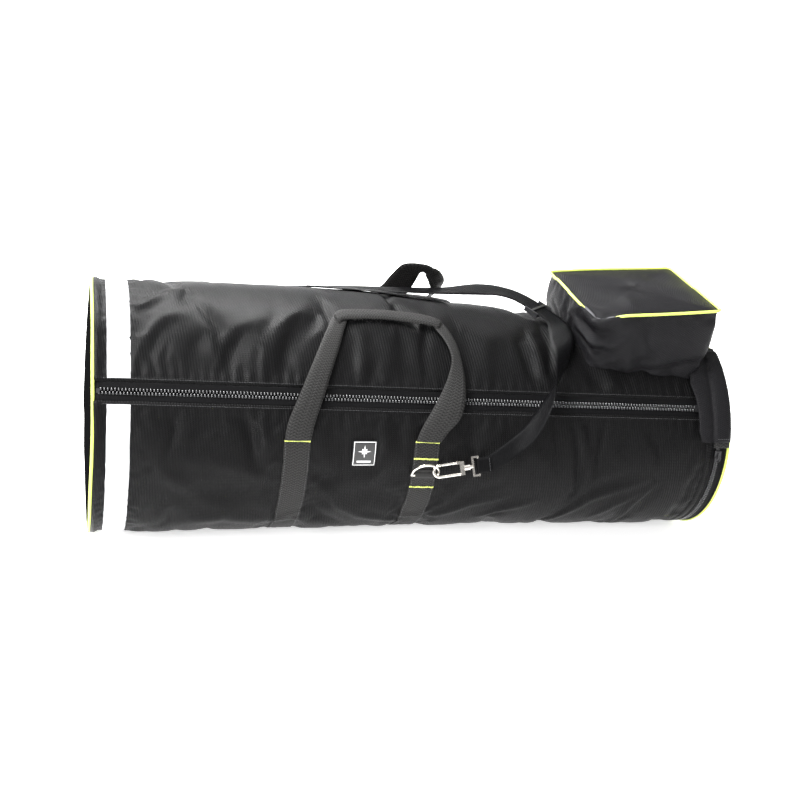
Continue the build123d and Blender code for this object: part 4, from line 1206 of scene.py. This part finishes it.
left_a = skin_line([(-235, 11.7, 3.6), (-231, 20, 5), (-216, 31, 8), (-198, 43, 9), (-178, 56, 7),
                    (-161, 67, 6), (-148, 75, 6)])
left_b = skin_line([(-195, 11.7, 3.6), (-190, 20, 5), (-178, 31, 8), (-164, 43, 9), (-150, 54, 7),
                    (-141, 62, 7), (-131, 70, 8)])
front_left = ribbon("front_handle_left", left_a, left_b, 44, 2.4, WEBBING, "black_webbing", "front_handle",
                    out_vector(np.array(40.0)), cup=0.8)
top_a = skin_line([(-152, 72, 7), (-138, 75.6, 9), (-78, 77, 9), (-18, 77, 9), (12, 75, 10), (22, 72, 9)])
top_b = skin_line([(-146, 66, 9), (-136, 68.4, 11), (-78, 69.6, 11), (-30, 69.2, 11), (2, 68.4, 12), (12, 67, 10)])
ribbon("front_handle_top", top_a, top_b, 44, 5.0, WEBBING, "black_webbing", "front_handle",
       out_vector(np.array(65.0)), cup=1.0)
right_a = skin_line([(9, 11.7, 3.6), (20, 17, 6), (36, 24, 14), (43, 33, 16), (44, 45, 13), (40, 58, 9),
                     (31, 68, 8), (20, 75, 8)])
right_b = skin_line([(-31, 11.7, 3.6), (-24, 18, 5), (-10, 26, 8), (6, 35, 12), (18, 43, 15), (25, 51, 15),
                     (19, 60, 12), (6, 69, 9)])
ribbon("front_handle_right", right_a, right_b, 48, 2.4, WEBBING, "black_webbing", "front_handle",
       out_vector(np.array(40.0)), cup=1.2)
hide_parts("front_handle")

# Rear handle: stands up behind the top and leans over it
rear_lean = np.array([0, -sin(radians(28)), cos(radians(28))])
rear_out = out_vector(np.array(152.0))
rear_base = np.array([0, centre_y(-215), radius(-235) + REST_GAP]) + rear_out * (radius(-235) + 3.9)


def rear_line(points):
    """Points as (x, distance up the lean, distance out of it)."""
    return np.array([rear_base * [0, 1, 1] + [x, 0, 0] + rear_lean * s + rear_out * h for x, s, h in points])


def rear_foot(x, angle):
    return on_skin(x, angle, 3.4)


rear_a = np.concatenate([[rear_foot(-235, 168.2), rear_foot(-234, 160.0)],
                         rear_line([(-226, 0, 2), (-172, 18, 3), (-115, 34, 3), (-62, 52, 4), (-32, 76, 5),
                                    (-21, 102, 5), (-14, 122, 3), (-8, 135, 2)])])
rear_b = np.concatenate([[rear_foot(-195, 168.2), rear_foot(-194, 160.0)],
                         rear_line([(-186, 0, 2), (-128, 4, 2), (-70, 14, 1), (-18, 30, 0), (10, 54, -1),
                                    (20, 80, -1), (25, 102, 0), (28, 116, 1)])])
rear_left = ribbon("rear_handle_left", rear_a, rear_b, 46, 2.4, WEBBING, "black_webbing", "rear_handle",
                   -rear_out * 1.0, cup=0.8)
top_a = rear_line([(-12, 127, 2), (-4, 138, 2), (14, 142, 1), (38, 139, 0), (57, 128, -2)])
top_b = rear_line([(25, 108, 1), (28, 117, 1), (32, 121, 0), (37, 119, -1), (43, 112, -3)])
ribbon("rear_handle_top", top_a, top_b, 34, 3.2, WEBBING, "black_webbing", "rear_handle", -rear_out * 1.0, cup=1.0)
rear_a = np.concatenate([rear_line([(51, 133, 0), (67, 118, 2), (78, 88, 6), (62, 44, 8), (30, 5, 5)]),
                         [rear_foot(9, 160.0), rear_foot(8, 168.2)]])
rear_b = np.concatenate([rear_line([(37, 118, -3), (46, 103, -9), (52, 80, -12), (24, 36, -6), (-8, 3, 1)]),
                         [rear_foot(-30, 160.0), rear_foot(-31, 168.2)]])
ribbon("rear_handle_right", rear_a, rear_b, 46, 2.4, WEBBING, "black_webbing", "rear_handle", -rear_out * 1.0,
       cup=0.8)
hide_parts("rear_handle")

# Shoulder strap ----------------------------------------------------------------------
STRAP_ROUTE = [
    (112, -200, 222, -0.3, 0.5, 0.8, 26), (142, -196, 250, -0.2, 0.9, 0.3, 32), (174, -170, 292, 0.1, 0.9, 0.0, 36),
    (202, -126, 334, 0.5, 0.6, -0.1, 38), (220, -76, 354, 0.9, 0.2, 0.1, 38), (230, -36, 361, 1, 0.3, 0.2, 38),
    (228, -2, 366, 0.78, 0.62, 0.0, 38), (190, 46, 380, 0.78, 0.62, 0.0, 38), (158, 70, 384, 0.4, 0.9, 0.1, 38),
    (120, 79, 383, 0, 1, 0.15, 38), (60, 80, 378, 0, 1, -0.05, 38), (-12, 86, 375, 0, 1, -0.12, 38),
    (-80, 92, 373, 0, 1, -0.18, 38), (-129, 99, 370, 0, 0.97, -0.28, 38), (-172, 109, 365, 0, 0.9, -0.4, 38),
    (-215, 128, 354, 0.05, 0.8, -0.5, 38), (-250, 150, 337, 0.2, 0.75, -0.6, 38), (-285, 171, 310, 0.5, 0.6,
                                                                                   -0.62, 36),
    (-310, 189, 280, 0.75, 0.3, -0.55, 32), (-318, 201, 248, 0.85, 0.2, -0.4, 28),
]


def strap_ends(side):
    """Middle of a hook's eye, and the direction of its bar."""
    points = np.array([v.co[:] for v in nodes[f"{side}_hook_eye"].data.vertices])
    points = (points - SHIFT) * 1000
    middle = points.mean(0)
    body_points = np.array([v.co[:] for v in nodes[f"{side}_hook_body"].data.vertices])
    body_middle = (body_points.mean(0) - SHIFT) * 1000
    along = unit(middle - body_middle)
    spread = points - middle
    spread -= along * (spread @ along)[:, None]
    _, _, axes = np.linalg.svd(spread - spread.mean(0), full_matrices=False)
    reach = (points @ along).max()
    bar = middle + along * (reach - middle @ along - 1.9)
    return bar, along, axes[0]


bar_f, along_f, across_f = strap_ends("front")
bar_r, along_r, across_r = strap_ends("rear")
if across_f @ np.array([-0.3, 0.5, 0.8]) < 0:
    across_f = -across_f
centres = [bar_f + along_f * 4, bar_f + along_f * 15] + [np.array(s[:3]) for s in STRAP_ROUTE] + [bar_r + along_r * 15, bar_r + along_r * 4]
acrosses = [across_f, across_f] + [np.array(s[3:6]) for s in STRAP_ROUTE] + [across_r, across_r]
widths = [24, 24] + [s[6] for s in STRAP_ROUTE] + [24, 24]
lefts, rights = [], []
previous = None
for k, c in enumerate(centres):
    along = unit(centres[min(k + 1, len(centres) - 1)] - centres[max(k - 1, 0)])
    a = acrosses[k] - along * (acrosses[k] @ along)
    a = unit(a)
    if previous is not None and a @ previous < 0:
        a = -a
    previous = a
    lefts.append(c - a * widths[k] / 2)
    rights.append(c + a * widths[k] / 2)
strap = ribbon("shoulder_strap_web", lefts, rights, 190, 2.0, STRAP_WEB, "black_webbing", "bag", cup=0.6)
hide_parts("shoulder_strap")
tail_x = np.array([58.0, 20, -13, -80, -130, -172])
tail_angle = np.array([96.0, 97, 98, 100, 103, 108])
tail_near = skin_at(tail_x, tail_angle, 3.0)
tail_far = skin_at(tail_x, tail_angle + 12, 3.4)
ribbon("strap_tail_web", tail_near, tail_far, 70, 1.8, STRAP_WEB, "black_webbing", "bag",
       out_vector(np.array(108.0)), cup=0.5)
for side, bar, along, across in (("front", bar_f, along_f, across_f), ("rear", bar_r, along_r, across_r)):
    out = unit(np.cross(along, across))
    loop = []
    loop.append(bar + along * 20 + out * 2.2)
    loop.append(bar + along * 12 + out * 2.4)
    for s in np.linspace(pi * 0.35, 2 * pi - pi * 0.35, 18):
        loop.append(bar + along * cos(s) * 3.1 + out * sin(s) * 3.1)
    loop.append(bar + along * 12 - out * 2.4)
    loop.append(bar + along * 20 - out * 2.2)
    loop = np.array(loop)
    ribbon(f"strap_fold_{side}", loop - across * 12, loop + across * 12, 40, 1.8, STRAP_WEB, "black_webbing", "bag")
    p = np.array([bar + along * 17 + across * w + out * 3.2 for w in np.linspace(-10, 10, 8)])
    stitch_row(f"strap_fold_stitches_{side}", None, None, 0, 2.6, 1.9, 0.6, BLACK_THREAD,
               points=p, outs=np.tile(out, (8, 1)))

# Hardware kept from the frame ---------------------------------------------------------
KEPT = {
    NICKEL: ["front_d_ring", "rear_d_ring", "front_hook_body", "rear_hook_body", "front_hook_gate",
             "rear_hook_gate",
             "front_hook_eye", "rear_hook_eye"],
    METAL: ["main_zip_slider", "main_zip_pull", "lid_zip_slider_upper", "lid_zip_slider_lower",
            "lid_zip_ring_upper",
            "lid_zip_ring_lower", "main_zip_stops"],
    PLASTIC: ["strap_adjuster"],
    BOARD: ["base_stiffener", "lid_stiffener"],
    WEBBING: ["d_ring_loop_front", "d_ring_loop_rear"],
}
for material, names in KEPT.items():
    for name in names:
        slots = nodes[name].material_slots
        if len(slots) == 0:
            nodes[name].data.materials.append(material)
        for entry in slots:
            entry.material = material

# Floor, light and camera --------------------------------------------------------------
floor_mesh = bpy.data.meshes.new("floor")
floor_mesh.from_pydata([(-30, -30, -0.0002), (30, -30, -0.0002), (30, 30, -0.0002), (-30, 30, -0.0002)], [],
                       [(0, 1, 2, 3)])
floor = bpy.data.objects.new("floor", floor_mesh)
bpy.context.scene.collection.objects.link(floor)
floor_material, tree, shader = new_material("floor_white", 0.8, specular=0.2)
tree.links.new(blend_colours(tree, noise(tree, 3.0), (0.90, 0.90, 0.90), (0.93, 0.93, 0.93)),
               shader.inputs["Base Color"])
shader.inputs["Emission Color"].default_value = (1, 1, 1, 1)
shader.inputs["Emission Strength"].default_value = 0.62
floor_mesh.materials.append(floor_material)
floor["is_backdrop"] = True

world = bpy.data.worlds.new("studio")
bpy.context.scene.world = world
world.use_nodes = True
tree = world.node_tree
coordinates = tree.nodes.new("ShaderNodeTexCoord").outputs["Generated"]
split = tree.nodes.new("ShaderNodeSeparateXYZ")
tree.links.new(coordinates, split.inputs[0])
tree.links.new(blend_colours(tree, math_node(tree, "MULTIPLY_ADD", split.outputs[2], 1.0, 0.0),
                             (0.13, 0.13, 0.135), (1.0, 1.0, 1.0)),
               tree.nodes["Background"].inputs["Color"])
tree.nodes["Background"].inputs["Strength"].default_value = 1.0


def softbox(name, spot, aim, width, depth, power):
    light = bpy.data.lights.new(name, "AREA")
    light.shape = "RECTANGLE"
    light.size, light.size_y, light.energy = width, depth, power
    obj = bpy.data.objects.new(name, light)
    obj.location = spot
    direction = Vector(aim) - Vector(spot)
    obj.rotation_euler = direction.to_track_quat("-Z", "Y").to_euler()
    bpy.context.scene.collection.objects.link(obj)
    return obj


softbox("top_light", (-0.9, 0.1, 2.3), (-0.15, 0, 0.2), 1.3, 0.9, 150)
softbox("rear_light", (-0.6, 2.3, 1.7), (-0.1, 0, 0.3), 2.2, 0.8, 110)
softbox("front_light", (-1.6, -2.1, 1.5), (-0.2, 0, 0.15), 0.9, 0.6, 62)

TURN, RISE, ROLL, DISTANCE = radians(14.75), radians(25.75), radians(0.66), 2.090
to_camera = Vector((-sin(TURN), -cos(TURN) * cos(RISE), cos(TURN) * sin(RISE)))
right = Vector((1, 0, 0))
right = (right - to_camera * right.dot(to_camera)).normalized()
up = to_camera.cross(right)
rolled_right = cos(ROLL) * right + sin(ROLL) * up
rolled_up = -sin(ROLL) * right + cos(ROLL) * up
target = Vector((-0.013, 0.0, 0.213)) + Vector(SHIFT.tolist())
camera = bpy.data.objects.new("camera", bpy.data.cameras.new("camera"))
camera.data.lens = 56.75
camera.data.sensor_width = 36.0
camera.matrix_world = Matrix((
    (rolled_right.x, rolled_up.x, to_camera.x, target.x + to_camera.x * DISTANCE),
    (rolled_right.y, rolled_up.y, to_camera.y, target.y + to_camera.y * DISTANCE),
    (rolled_right.z, rolled_up.z, to_camera.z, target.z + to_camera.z * DISTANCE),
    (0, 0, 0, 1),
))
bpy.context.scene.collection.objects.link(camera)
bpy.context.scene.camera = camera
bpy.context.scene.view_settings.view_transform = "Standard"

size = {"cad": [list(v) for v in cad_bounds], "visual": [list(v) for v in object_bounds()]}
